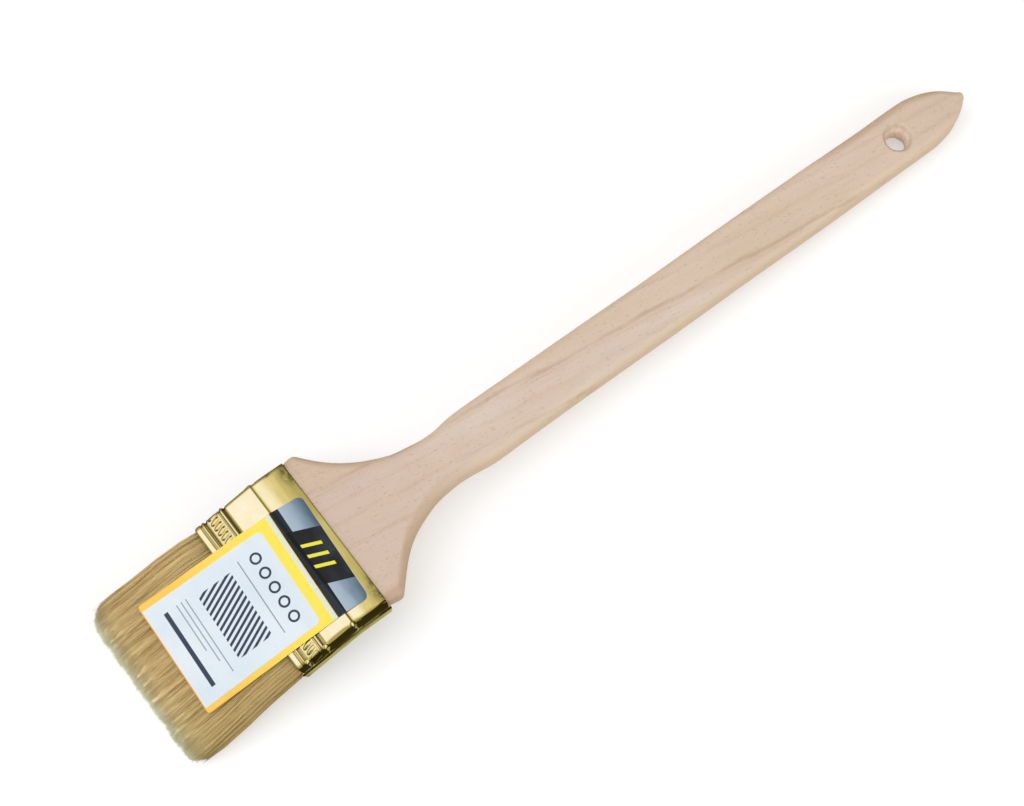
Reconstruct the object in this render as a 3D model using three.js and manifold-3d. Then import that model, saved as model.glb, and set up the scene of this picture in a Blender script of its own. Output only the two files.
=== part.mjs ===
// Long-handled flat paint brush with an angled head, 63 mm nominal width.
// Units are millimetres, +Z is up. The brush lies on its back on a level surface, as it is put
// down: it touches with the bristle tips and with the end of the handle. +X runs along the brush
// from the bristles to the tip of the handle, Y is its width.
import * as THREE from 'three';
import { mergeVertices } from 'three/addons/utils/BufferGeometryUtils.js';
import Module from 'manifold-3d';

const wasm = await Module();
wasm.setup();

// ---------------------------------------------------------------- driving dimensions
const GAP = 0.35;                 // air between touching pieces

// the angle of the head and where its mid plane crosses the mid plane of the handle
const BEND = THREE.MathUtils.degToRad(18.5);
const FERRULE_T = 13.6;           // outer thickness of the ferrule
const BEND_X = (FERRULE_T / 2) * Math.tan(BEND / 2); // so that the front crease is at x = 0

// handle: one board, thickness and edge rounding
const BOARD_T = 12.0;
const BOARD_EDGE = 1.7;
const TONGUE_X = 2.6;             // end of the tongue inside the ferrule
const TONGUE_W = 60.3;            // tongue width
const SHOULDER_X = 14.35;         // shoulders start just above the ferrule
const TIP = [304.8, -1.1];        // pointed end of the handle
// distance of both edges of the board from its middle line against x, from the shoulders to the
// pointed end: the board is cut by hand and its edges differ a little
const EDGE_HIGH = [
  [14.35, 31.6], [17, 31.95], [18.5, 31.95], [19.3, 31.4], [20.8, 29.8], [23.2, 27.0], [25.6, 24.5], [28, 22.25], [31.2, 19.7],
  [35.2, 17.15], [39.2, 15.1], [44, 13.0], [48, 11.65], [50, 11.3], [54, 10.65], [58, 10.12], [61, 9.95], [64, 10.1],
  [68, 10.6], [71, 11.0], [74, 11.2], [78, 11.25], [104, 11.15], [136, 11.0], [162, 10.8], [192, 10.88], [224, 10.85],
  [248, 10.55], [264, 10.42], [277, 10.52], [282, 10.45], [285, 10.2], [288, 9.55], [291, 8.75], [294, 7.65], [297, 6.15],
  [300, 4.0], [302.4, 1.95],
];
const EDGE_LOW = [
  [17.6, 30.45], [20.2, 30.75], [21.0, 30.4], [22.4, 29.1], [24.8, 26.5], [27.2, 23.9], [29.6, 21.5], [32, 19.35], [35.2, 16.9],
  [38.4, 15.05], [41.6, 13.5], [44.8, 12.25], [48, 11.1], [50, 10.6], [54, 9.85], [58, 9.5], [61, 9.33], [64, 9.4], [68, 9.75],
  [72, 10.3], [75, 10.7], [78, 10.75], [88, 10.6], [112, 10.4], [160, 10.55], [192, 10.4], [232, 10.6], [262, 10.37],
  [283, 10.2], [286, 10.08], [289, 9.65], [292, 9.05], [295, 8.2], [298, 6.9], [300, 5.8], [302.6, 3.95],
];
const HOLE_X = 271.65;            // hanging hole
const HOLE_Y = -0.93;
const HOLE_D = 7.8;
// its widely rounded rims on both faces: depth below the face, how much wider than the bore
const HOLE_RIM = [[2.8, 0], [1.3, 0.32], [0.45, 1.0], [-1.0, 4.75]];

// ferrule: a tinplate band, 0.45 wall, bent back at a crease
const FERRULE_W = 63.2;
const FERRULE_R = 2.7;            // corner radius of the band
const WALL = 0.45;
const FERRULE_TOP = 14.0;         // top edge, from the crease
const FERRULE_LEN = 24.6;         // lower part, from the crease to the lip
const LAP_OUT = 0.55;             // the lapped ends of the band on its narrow side towards -Y: how far they
const LAP_Z = [-3.6, 1.4];        // stand out, and where across the thickness
const LAP_TOP = 14.8;             // the lap is a little longer than the ribbed sheet at both ends
const LAP_END = 25.4;
// pressed ribs of the lower part: distance from the crease, and how far the sheet stands out
const RIBS = [
  [11.9, 0], [12.7, 0.0], [13.1, 0.45], [13.9, 0.45], [14.25, 0.05], [14.7, 0.28], [19.5, 0.28], [19.9, 0.0],
  [20.7, 0.0], [21.1, 0.45], [21.8, 0.45], [22.15, 0.05], [22.55, 0.42], [24.2, 0.42], [24.6, 0.15],
];

// bristles: tuft of two halves on both sides of a wooden strip
const TUFT_ROOT = 9.6;            // roots, from the crease (in the setting)
const TUFT_LEN = 76.0;            // tips, from the crease
const PLUG_T = 3.0;
const PLUG_W = 56.0;
// label: one printed sheet over the front of the ferrule and the bristles
const LABEL_W = 43.8;
const LABEL_TOP = 11.15;          // above the crease
const LABEL_BOTTOM = 56.9;        // below the crease
const LABEL_TURN = THREE.MathUtils.degToRad(3.5);   // it is stuck on slightly askew
const LABEL_Y = -3.1;             // its middle, at the crease
const LABEL_T = 0.35;

// ---------------------------------------------------------------- helpers
function solidOf(geometry) {
  const g = geometry.clone();
  g.deleteAttribute('normal');
  g.deleteAttribute('uv');
  const m = mergeVertices(g, 1e-5);
  return new wasm.Manifold(new wasm.Mesh({
    numProp: 3,
    vertProperties: new Float32Array(m.attributes.position.array),
    triVerts: new Uint32Array(m.index.array),
  }));
}
function geometryOf(solid) {
  const mesh = solid.getMesh();
  const n = mesh.vertProperties.length / mesh.numProp;
  const pos = new Float32Array(n * 3);
  for (let i = 0; i < n; i++) {
    for (let k = 0; k < 3; k++) pos[3 * i + k] = mesh.vertProperties[i * mesh.numProp + k];
  }
  const g = new THREE.BufferGeometry();
  g.setAttribute('position', new THREE.BufferAttribute(pos, 3));
  g.setIndex(new THREE.BufferAttribute(new Uint32Array(mesh.triVerts), 1));
  g.computeVertexNormals();
  return g;
}
const basis = (x, y, z) => new THREE.Matrix4().makeBasis(
  new THREE.Vector3(...x), new THREE.Vector3(...y), new THREE.Vector3(...z));
const ALONG_X = basis([0, 1, 0], [0, 0, 1], [1, 0, 0]);     // section in Y and Z, length along X
const ALONG_Y = basis([1, 0, 0], [0, 0, 1], [0, -1, 0]);    // side profile in X and Z, width along -Y
// the frame of the head: x points from the bristles to the handle, z out of its front
const HEAD = new THREE.Matrix4().makeTranslation(BEND_X, 0, 0)
  .multiply(new THREE.Matrix4().makeRotationY(-BEND));
const headX = (l) => BEND_X - l;                            // distance below the front crease to head x

function roundedRect(w, h, r, n, hole) {
  const pts = [];
  const corners = [[w / 2 - r, h / 2 - r, 0], [-w / 2 + r, h / 2 - r, 90],
    [-w / 2 + r, -h / 2 + r, 180], [w / 2 - r, -h / 2 + r, 270]];
  for (const [cx, cy, a0] of corners) {
    for (let k = 0; k <= n; k++) {
      const a = THREE.MathUtils.degToRad(a0 + (90 * k) / n);
      pts.push(new THREE.Vector2(cx + r * Math.cos(a), cy + r * Math.sin(a)));
    }
  }
  return hole ? new THREE.Path(pts) : new THREE.Shape(pts);
}
function boxSolid(x0, x1, y0, y1, z0, z1, matrix) {
  const g = new THREE.BoxGeometry(x1 - x0, y1 - y0, z1 - z0);
  g.translate((x0 + x1) / 2, (y0 + y1) / 2, (z0 + z1) / 2);
  if (matrix) g.applyMatrix4(matrix);
  return solidOf(g);
}
function cylinderSolid(x, y, z0, z1, r0, r1, n) {
  const g = new THREE.CylinderGeometry(r1, r0, z1 - z0, n);
  g.rotateX(Math.PI / 2);
  g.translate(x, y, (z0 + z1) / 2);
  return solidOf(g);
}
const material = (name, color, roughness, metalness) => {
  const m = new THREE.MeshStandardMaterial({ color, roughness, metalness });
  m.name = name;
  return m;
};
const beech = material('beech', 0xd3baa8, 0.62, 0.0);
const tinplate = material('brass_tinplate', 0xd9c078, 0.26, 1.0);
const hair = material('bristle', 0xb9a069, 0.7, 0.0);
const plugWood = material('plug_wood', 0xc9a677, 0.7, 0.0);
const resin = material('resin', 0x8a5a2a, 0.35, 0.0);
const print = material('printed_sheet', 0xdae5ec, 0.4, 0.0);
const nailSteel = material('nail_steel', 0xb8b09a, 0.4, 0.9);

const brush = new THREE.Group();
const head = new THREE.Group();
head.position.set(BEND_X, 0, 0);
head.rotation.y = -BEND;
brush.add(head);
function add(parent, name, geometry, mat) {
  const mesh = new THREE.Mesh(geometry, mat);
  mesh.name = name;
  parent.add(mesh);
  return mesh;
}

// ---------------------------------------------------------------- handle
{
  const tongue = [[TONGUE_X, TONGUE_W / 2], [SHOULDER_X, TONGUE_W / 2]];
  const pts = [...tongue, ...EDGE_LOW].map(([x, h]) => new THREE.Vector2(x, -h));
  pts.push(new THREE.Vector2(...TIP));
  for (const [x, h] of [...tongue, ...EDGE_HIGH].reverse()) pts.push(new THREE.Vector2(x, h));
  const g = new THREE.ExtrudeGeometry(new THREE.Shape(pts), {
    depth: BOARD_T - 2 * BOARD_EDGE, bevelEnabled: true, bevelThickness: BOARD_EDGE,
    bevelSize: BOARD_EDGE, bevelOffset: -BOARD_EDGE, bevelSegments: 3,
  });
  g.translate(0, 0, -(BOARD_T - 2 * BOARD_EDGE) / 2);
  let s = solidOf(g);
  const t = BOARD_T / 2;
  const r = HOLE_D / 2;
  s = s.subtract(cylinderSolid(HOLE_X, HOLE_Y, -t - 2, t + 2, r, r, 32));
  for (let i = 1; i < HOLE_RIM.length; i++) {
    const [[d0, w0], [d1, w1]] = [HOLE_RIM[i - 1], HOLE_RIM[i]];
    s = s.subtract(cylinderSolid(HOLE_X, HOLE_Y, t - d0, t - d1, r + w0, r + w1, 32));
    s = s.subtract(cylinderSolid(HOLE_X, HOLE_Y, -t + d1, -t + d0, r + w1, r + w0, 32));
  }
  // clearance of the four nails in the tongue
  for (const y of [-15, 15]) s = s.subtract(cylinderSolid(7.5, y, 0.8, t + 1, 0.95, 0.95, 12));
  for (const y of [-22, 22]) s = s.subtract(cylinderSolid(7.5, y, -t - 1, -0.8, 0.95, 0.95, 12));
  add(brush, 'handle', geometryOf(s), beech);
}

// ---------------------------------------------------------------- ferrule
{
  // rings of the band from its top edge to its lip: [frame, position, stand-out]
  const rings = [['handle', FERRULE_TOP, 0], ['mitre', 0.9, 0], ['mitre', 0, 0.25], ['mitre', -0.9, 0]];
  for (const [l, o] of RIBS) rings.push(['head', headX(l), o]);
  const shape = roundedRect(FERRULE_W, FERRULE_T, FERRULE_R, 4, false);
  shape.holes.push(roundedRect(FERRULE_W - 2 * WALL, FERRULE_T - 2 * WALL, FERRULE_R - WALL, 4, true));
  const steps = rings.length - 1;
  const g = new THREE.ExtrudeGeometry(shape, { depth: steps, steps, bevelEnabled: false });
  const pos = g.attributes.position;
  const v = new THREE.Vector3();
  for (let i = 0; i < pos.count; i++) {
    const [frame, at, out] = rings[steps - Math.round(pos.getZ(i))];
    let y = pos.getX(i);
    let z = pos.getY(i);
    // outward direction of the section at this point
    const qy = Math.max(Math.abs(y) - (FERRULE_W / 2 - FERRULE_R), 0);
    const qz = Math.max(Math.abs(z) - (FERRULE_T / 2 - FERRULE_R), 0);
    const q = Math.hypot(qy, qz) || 1;
    y += (Math.sign(y) * qy * out) / q;
    z += (Math.sign(z) * qz * out) / q;
    if (frame === 'handle') v.set(at, y, z);
    else if (frame === 'head') v.set(at, y, z).applyMatrix4(HEAD);
    else {
      // on the plane between both parts of the band, then along one of them
      v.set(BEND_X - z * Math.tan(BEND / 2), y, z);
      v.add(new THREE.Vector3(at, 0, 0).applyAxisAngle(new THREE.Vector3(0, 1, 0), at < 0 ? -BEND : 0));
    }
    pos.setXYZ(i, v.x, v.y, v.z);
  }
  let s = solidOf(g);
  // the lapped ends of the sheet, a plain flat strip that runs from the top edge to the lip
  const low = -FERRULE_W / 2 - LAP_OUT;
  const cut = new THREE.Matrix4().makeTranslation(BEND_X, 0, 0).multiply(new THREE.Matrix4().makeRotationY(-BEND / 2));
  const upperLap = boxSolid(BEND_X - 5, LAP_TOP, low, -FERRULE_W / 2 + 0.2, ...LAP_Z)
    .subtract(boxSolid(-60, 0, -60, 60, -60, 60, cut));
  const lowerLap = boxSolid(headX(LAP_END), 5, low, -FERRULE_W / 2 + 0.2, ...LAP_Z, HEAD)
    .subtract(boxSolid(0.02, 60, -60, 60, -60, 60, cut));
  s = s.add(upperLap).add(lowerLap);
  for (const y of [-15, 15]) s = s.subtract(cylinderSolid(7.5, y, 3, 9, 1.8, 1.8, 20));
  for (const y of [-22, 22]) s = s.subtract(cylinderSolid(7.5, y, -9, -3, 1.8, 1.8, 20));
  add(brush, 'ferrule', geometryOf(s), tinplate);
}

// ---------------------------------------------------------------- nails
function nail(name, x, y, side, dome) {
  // profile from the point of the nail to the middle of its head
  const pts = [[0, -5.6], [0.6, -4.6], [0.6, -0.45], [1.45, -0.45], [1.45, -0.12], [1.0, dome * 0.7], [0, dome]];
  const g = new THREE.LatheGeometry(pts.map(([r, z]) => new THREE.Vector2(r, z)), 20);
  const m = add(brush, name, geometryOf(solidOf(g)), nailSteel);
  m.position.set(x, y, side * (FERRULE_T / 2));
  m.rotation.x = (side * Math.PI) / 2;
}
nail('nail_front_left', 7.5, 15, 1, 0.0);
nail('nail_front_right', 7.5, -15, 1, 0.0);
nail('nail_back_left', 7.5, 22, -1, 0.3);
nail('nail_back_right', 7.5, -22, -1, 0.3);

// ---------------------------------------------------------------- resin setting and spacer plug
const INNER_T = FERRULE_T / 2 - WALL;
{
  const shape = roundedRect(FERRULE_W - 2 * WALL - 2 * GAP, 2 * (INNER_T - GAP), 1.6, 3, false);
  const g = new THREE.ExtrudeGeometry(shape, { depth: TUFT_ROOT - GAP - 2.0, bevelEnabled: false });
  g.applyMatrix4(ALONG_X);
  g.translate(headX(TUFT_ROOT - GAP), 0, 0);
  const slot = boxSolid(headX(TUFT_ROOT + 1), headX(3.8), -PLUG_W / 2 - GAP, PLUG_W / 2 + GAP,
    -PLUG_T / 2 - GAP, PLUG_T / 2 + GAP);
  add(head, 'epoxy_setting', geometryOf(solidOf(g).subtract(slot)), resin);

  const plug = new THREE.Shape([[4.15, PLUG_T / 2], [4.15, -PLUG_T / 2], [20.5, -PLUG_T / 2], [22.4, -0.7], [22.4, 0.7],
    [20.5, PLUG_T / 2]].map(([l, z]) => new THREE.Vector2(headX(l), z)).reverse());
  const p = new THREE.ExtrudeGeometry(plug, { depth: PLUG_W, bevelEnabled: false });
  p.applyMatrix4(ALONG_Y);
  p.translate(0, PLUG_W / 2, 0);
  add(head, 'spacer_plug', geometryOf(solidOf(p)), plugWood);
}

// ---------------------------------------------------------------- bristle tuft
{
  // width of the tuft against the distance from the crease: low y, high y
  const W = [[TUFT_ROOT, -30.75, 30.75], [24.6, -30.75, 30.85], [27.5, -30.85, 32.0], [34, -31.0, 32.75], [42, -31.2, 33.2],
    [50, -31.75, 33.35], [58, -32.3, 33.55], [66, -32.25, 34.1], [70.5, -32.0, 33.9], [73, -31.0, 32.4], [74.6, -28.6, 30.0]];
  const outline = [];
  for (const [l, lo] of W) outline.push(new THREE.Vector2(headX(l), lo));
  const tips = [[75.5, -23], [75.3, -16], [75.8, -9], [75.4, -2], [75.8, 6], [75.3, 13], [75.7, 20], [75.5, 26]];
  for (const [l, y] of tips) outline.push(new THREE.Vector2(headX(l), y));
  for (const [l, , hi] of W.slice().reverse()) outline.push(new THREE.Vector2(headX(l), hi));
  outline.reverse();
  if (THREE.ShapeUtils.area(outline) < 0) outline.reverse();
  const plan = new THREE.ExtrudeGeometry(new THREE.Shape(outline), { depth: 30, bevelEnabled: false });
  plan.translate(0, 0, -15);
  // inside the band the tuft has the band's rounded corners
  const within = new THREE.ExtrudeGeometry(roundedRect(61.5, 11.96, 2.1, 3, false), { depth: 17, bevelEnabled: false });
  within.applyMatrix4(ALONG_X);
  within.translate(headX(TUFT_ROOT + 15.4), 0, 0);
  const beyond = boxSolid(-90, headX(24.9), -50, 50, -20, 20);
  const planSolid = solidOf(plan).intersect(solidOf(within).add(beyond));
  // thickness of one half: inner face and outer face against the distance from the crease
  const inner = [[TUFT_ROOT, 1.85], [22.9, 1.85], [36, 0.2], [TUFT_LEN, 0.2]];
  const outer = [[TUFT_ROOT, 5.98], [24.4, 5.98], [30, 6.25], [46, 6.3], [57, 5.8], [66, 4.9], [72, 3.9], [75, 2.9], [TUFT_LEN, 1.9]];
  for (const [name, side] of [['bristle_front', 1], ['bristle_back', -1]]) {
    const pts = [...inner, ...outer.slice().reverse()].map(([l, z]) => new THREE.Vector2(headX(l), side * z));
    if (THREE.ShapeUtils.area(pts) < 0) pts.reverse();
    const g = new THREE.ExtrudeGeometry(new THREE.Shape(pts), { depth: 80, bevelEnabled: false });
    g.applyMatrix4(ALONG_Y);
    g.translate(0, 40, 0);
    add(head, name, geometryOf(solidOf(g).intersect(planSolid)), hair);
  }
}

// ---------------------------------------------------------------- label
{
  const F = FERRULE_T / 2;
  // underside of the sheet in the side view, first on the upper part, then on the head
  const up = (x, z) => new THREE.Vector3(x, 0, z);
  const hd = (l, z) => new THREE.Vector3(headX(l), 0, z).applyMatrix4(HEAD);
  const crease = (z) => new THREE.Vector3(BEND_X - z * Math.tan(BEND / 2), 0, z);
  const line = (d) => [up(15, F + 0.32 + d), up(1.3, F + 0.32 + d), crease(F + 0.6 + d), hd(1.3, F + 0.32 + d),
    hd(11.6, F + 0.32 + d), hd(12.8, F + 0.78 + d), hd(24.8, F + 0.76 + d), hd(60, F + 0.05 + d)];
  const pts = [...line(0), ...line(LABEL_T).reverse()].map((p) => new THREE.Vector2(p.x, p.z));
  if (THREE.ShapeUtils.area(pts) < 0) pts.reverse();
  const g = new THREE.ExtrudeGeometry(new THREE.Shape(pts), { depth: 90, bevelEnabled: false });
  g.applyMatrix4(ALONG_Y);
  g.translate(0, 45, 0);
  const sheet = solidOf(g);
  // outline of the flat sheet, turned about its middle at the crease
  const corner = (x, y, r, a0) => {
    const out = [];
    for (let k = 0; k <= 4; k++) {
      const a = THREE.MathUtils.degToRad(a0 + 22.5 * k);
      out.push([x + r * Math.cos(a), y + r * Math.sin(a)]);
    }
    return out;
  };
  const h = LABEL_W / 2;
  const flat = [...corner(LABEL_TOP - 3.2, h - 3.2, 3.2, 0), ...corner(-LABEL_BOTTOM + 1, h - 1, 1, 90),
    ...corner(-LABEL_BOTTOM + 1, -h + 1, 1, 180), ...corner(LABEL_TOP - 3.2, -h + 3.2, 3.2, 270)];
  const c = Math.cos(-LABEL_TURN);
  const sn = Math.sin(-LABEL_TURN);
  const shape = new THREE.Shape(flat.map(([x, y]) => new THREE.Vector2(x * c - y * sn, x * sn + y * c + LABEL_Y)));
  const prism = (m) => {
    const e = new THREE.ExtrudeGeometry(shape, { depth: 40, bevelEnabled: false });
    e.translate(0, 0, -20);
    e.applyMatrix4(m);
    return solidOf(e);
  };
  const hinge = new THREE.Matrix4().makeTranslation(0, 0, F);         // front crease
  const turned = hinge.clone().multiply(new THREE.Matrix4().makeRotationY(-BEND));
  const cut = hinge.clone().multiply(new THREE.Matrix4().makeRotationY(-BEND / 2));
  const upper = prism(hinge).subtract(boxSolid(-90, 0, -60, 60, -60, 60, cut));
  const lower = prism(turned).subtract(boxSolid(0.02, 90, -60, 60, -60, 60, cut));
  add(brush, 'label', geometryOf(sheet.intersect(upper).add(sheet.intersect(lower))), print);
}

// ---------------------------------------------------------------- rest on a level surface
// The brush lies on its back: turned about Y until the end of the handle and the bristle tips
// touch the same level, then moved so that the middle of its box is at x = y = 0 and it rests on z = 0.
const group = new THREE.Group();
group.name = 'paint_brush';
group.add(brush);
function lowest(tilt, side) {
  brush.position.set(0, 0, 0);
  brush.rotation.set(0, tilt, 0);
  group.updateMatrixWorld(true);
  const p = new THREE.Vector3();
  let low = Infinity;
  brush.traverse((o) => {
    if (!o.isMesh) return;
    const a = o.geometry.attributes.position;
    const c = new THREE.Vector3();
    for (let i = 0; i < a.count; i++) {
      p.fromBufferAttribute(a, i).applyMatrix4(o.matrixWorld);
      c.copy(p);
      if ((side > 0) === (c.x > 150)) low = Math.min(low, c.z);
    }
  });
  return low;
}
let t0 = -0.2;
let t1 = 0.4;
for (let i = 0; i < 40; i++) {
  const t = (t0 + t1) / 2;
  if (lowest(t, 1) > lowest(t, -1)) t0 = t;
  else t1 = t;
}
const REST_TILT = (t0 + t1) / 2;
brush.rotation.set(0, REST_TILT, 0);
brush.position.set(0, 0, 0);
group.updateMatrixWorld(true);
const box = new THREE.Box3().setFromObject(group, true);
brush.position.set(-(box.min.x + box.max.x) / 2, -(box.min.y + box.max.y) / 2, -box.min.z);
group.updateMatrixWorld(true);

export default group;
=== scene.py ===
"""Long-handled flat paint brush with an angled head, lying on its back on a pale surface.

Lengths are given in millimetres in the frame of the brush: x runs from the front crease of the
ferrule towards the tip of the handle, y across its width, z out of its front, z = 0 in the middle
of the board. place() turns them into metres in the row frame.
"""
import bpy
import math
import numpy as np
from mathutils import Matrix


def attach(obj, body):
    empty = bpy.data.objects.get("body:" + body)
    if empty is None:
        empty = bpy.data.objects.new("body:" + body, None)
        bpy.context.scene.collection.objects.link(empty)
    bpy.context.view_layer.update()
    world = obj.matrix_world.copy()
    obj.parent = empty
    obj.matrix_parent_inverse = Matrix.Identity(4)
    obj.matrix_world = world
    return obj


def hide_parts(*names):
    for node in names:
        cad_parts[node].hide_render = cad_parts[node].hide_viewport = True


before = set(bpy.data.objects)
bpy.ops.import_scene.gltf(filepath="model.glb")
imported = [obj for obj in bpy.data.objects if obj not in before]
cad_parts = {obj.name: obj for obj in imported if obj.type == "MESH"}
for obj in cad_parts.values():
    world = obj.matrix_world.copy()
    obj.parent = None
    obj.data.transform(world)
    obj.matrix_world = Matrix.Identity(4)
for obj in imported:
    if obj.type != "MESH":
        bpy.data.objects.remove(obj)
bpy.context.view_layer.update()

# ---------------------------------------------------------------- sizes shared with the CAD model
BEND = math.radians(18.5)
F = 6.8                                  # half thickness of the ferrule
BEND_X = F * math.tan(BEND / 2)
REST_TILT = 0.05488743829855591          # the brush rests on the bristle tips and the handle's end
REST_AT = np.array([-116.55016830615975, -0.8999996185302734, 22.594016377796002])
BOARD = 6.0                              # half thickness of the handle
HOLE_X, HOLE_Y, HOLE_R = 271.65, -0.93, 3.9
NAILS = (("nail_front_left", 7.5, 15, 1, 0.05), ("nail_front_right", 7.5, -15, 1, 0.05),
         ("nail_back_left", 7.5, 22, -1, 0.34), ("nail_back_right", 7.5, -22, -1, 0.34))
LIGHT = 1.2                              # light that a level white surface sends back
# distance of the board's two edges from its middle line: the edge towards +y and the one towards -y
HIGH = np.array([
    [14.35, 31.5], [16, 31.85], [17.6, 32.0], [18.4, 31.95], [18.9, 31.75], [19.2, 31.5], [20, 30.75], [20.8, 29.8], [21.6, 28.85],
    [22.4, 27.9], [23.2, 27.0], [24.8, 25.25], [27.2, 22.95], [29.6, 20.95], [32, 19.2], [35.2, 17.15], [38.4, 15.45],
    [41.6, 13.95], [44.8, 12.65], [48, 11.65], [50, 11.3], [54, 10.65], [58, 10.1], [61, 9.95], [64, 10.1], [68, 10.6],
    [72, 11.1], [74, 11.2], [78, 11.25], [88, 11.2], [112, 11.15], [136, 11.0], [160, 10.8], [192, 10.9], [232, 10.8],
    [248, 10.55], [262, 10.4], [277, 10.55], [283, 10.4], [286, 10.0], [289, 9.3], [292, 8.4], [295, 7.15], [298, 5.5],
    [300, 4.0], [302, 2.3], [303, 1.4], [304, 0.7], [304.45, 0.5]])
LOW = np.array([
    [14.35, 29.85], [15.2, 30.1], [16, 30.2], [17.6, 30.45], [18.4, 30.6], [19.2, 30.7], [20, 30.75], [20.6, 30.65], [21.1, 30.4],
    [21.6, 29.95], [22.4, 29.1], [23.2, 28.2], [24.8, 26.5], [27.2, 23.9], [29.6, 21.5], [32, 19.35], [35.2, 16.9], [38.4, 15.05],
    [41.6, 13.5], [44.8, 12.25], [48, 11.1], [50, 10.6], [54, 9.85], [58, 9.5], [61, 9.33], [64, 9.4], [68, 9.75], [72, 10.3],
    [74, 10.55], [78, 10.75], [88, 10.6], [112, 10.4], [136, 10.45], [160, 10.55], [192, 10.4], [232, 10.6], [248, 10.45],
    [262, 10.35], [277, 10.27], [283, 10.2], [286, 10.1], [289, 9.65], [292, 9.05], [295, 8.2], [298, 6.9], [300, 5.8],
    [302, 4.45], [303, 3.6], [304, 2.9], [304.45, 2.7]])
RING_AT, RING_PITCH, RING_PHASE, RING_LEAN, RING_HALF = 16.88, 2.094, 1.77, 0.22, (0.72, 1.86)     # chain of rings on the ferrule
LABEL_U, LABEL_W = 43.7, 68.1            # width and height of the label


def place(p):
    """Brush frame in millimetres to the row frame in metres."""
    p = np.asarray(p, float)
    c, s = math.cos(REST_TILT), math.sin(REST_TILT)
    out = np.empty_like(p)
    out[..., 0] = p[..., 0] * c + p[..., 2] * s + REST_AT[0]
    out[..., 1] = p[..., 1] + REST_AT[1]
    out[..., 2] = -p[..., 0] * s + p[..., 2] * c + REST_AT[2]
    return out / 1000.0


def from_head(l, y, z):
    """Point of the head, l millimetres below the front crease, to the brush frame."""
    l, y, z = np.broadcast_arrays(np.asarray(l, float), np.asarray(y, float), np.asarray(z, float))
    x = BEND_X - l
    c, s = math.cos(BEND), math.sin(BEND)
    return np.stack([x * c - z * s + BEND_X, y, x * s + z * c], -1)


def smoothstep(a, b, t):
    t = np.clip((np.asarray(t, float) - a) / (b - a), 0, 1)
    return t * t * (3 - 2 * t)


def pchip(xs, ys, x):
    """Smooth curve through the points that doesn't overshoot them."""
    xs, ys, x = np.asarray(xs, float), np.asarray(ys, float), np.asarray(x, float)
    h, d = np.diff(xs), np.diff(ys) / np.diff(xs)
    m = np.zeros(len(xs))
    m[0], m[-1] = d[0], d[-1]
    for i in range(1, len(xs) - 1):
        if d[i - 1] * d[i] > 0:
            w1, w2 = 2 * h[i] + h[i - 1], h[i] + 2 * h[i - 1]
            m[i] = (w1 + w2) / (w1 / d[i - 1] + w2 / d[i])
    i = np.clip(np.searchsorted(xs, x) - 1, 0, len(xs) - 2)
    t = (x - xs[i]) / h[i]
    t2, t3 = t * t, t * t * t
    return ((2 * t3 - 3 * t2 + 1) * ys[i] + (t3 - 2 * t2 + t) * h[i] * m[i]
            + (-2 * t3 + 3 * t2) * ys[i + 1] + (t3 - t2) * h[i] * m[i + 1])


# ---------------------------------------------------------------- mesh helpers
def make_object(name, points, faces, material, body="root", attributes=None, uv=None, smooth=True):
    """points in the brush frame; every vertex keeps its place there as the attribute spot, in millimetres."""
    me = bpy.data.meshes.new(name)
    me.from_pydata(place(points), [], faces)
    me.validate()
    if smooth:
        me.shade_smooth()
    a = me.attributes.new("spot", "FLOAT_VECTOR", "POINT")
    a.data.foreach_set("vector", np.asarray(points, np.float32).ravel())
    for key, values in (attributes or {}).items():
        a = me.attributes.new(key, "FLOAT", "POINT")
        a.data.foreach_set("value", np.asarray(values, np.float32).ravel())
    if uv is not None:
        layer = me.uv_layers.new(name="pattern")
        loops = np.empty(len(me.loops), np.int32)
        me.loops.foreach_get("vertex_index", loops)
        layer.data.foreach_set("uv", np.asarray(uv, np.float32)[loops].ravel())
    o = bpy.data.objects.new(name, me)
    bpy.context.scene.collection.objects.link(o)
    me.materials.append(material)
    return o


def grid_faces(rows, columns, wrap=False, flip=False, start=0):
    """Quads between rows of points; wrap joins the last column to the first."""
    r = np.arange(rows - 1)[:, None]
    c = np.arange(columns if wrap else columns - 1)[None, :]
    d = (c + 1) % columns
    quads = np.stack([r * columns + c, r * columns + d, (r + 1) * columns + d, (r + 1) * columns + c], -1)
    quads = quads.reshape(-1, 4) + start
    return (quads[:, ::-1] if flip else quads)


def outward(o):
    """Faces of a closed piece point outwards."""
    import bmesh
    bm = bmesh.new()
    bm.from_mesh(o.data)
    bmesh.ops.recalc_face_normals(bm, faces=bm.faces)
    bm.to_mesh(o.data)
    bm.free()


def finish_piece(o, slot, *nodes):
    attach(o, "root")
    if nodes:
        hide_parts(*nodes)
    return o


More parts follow.
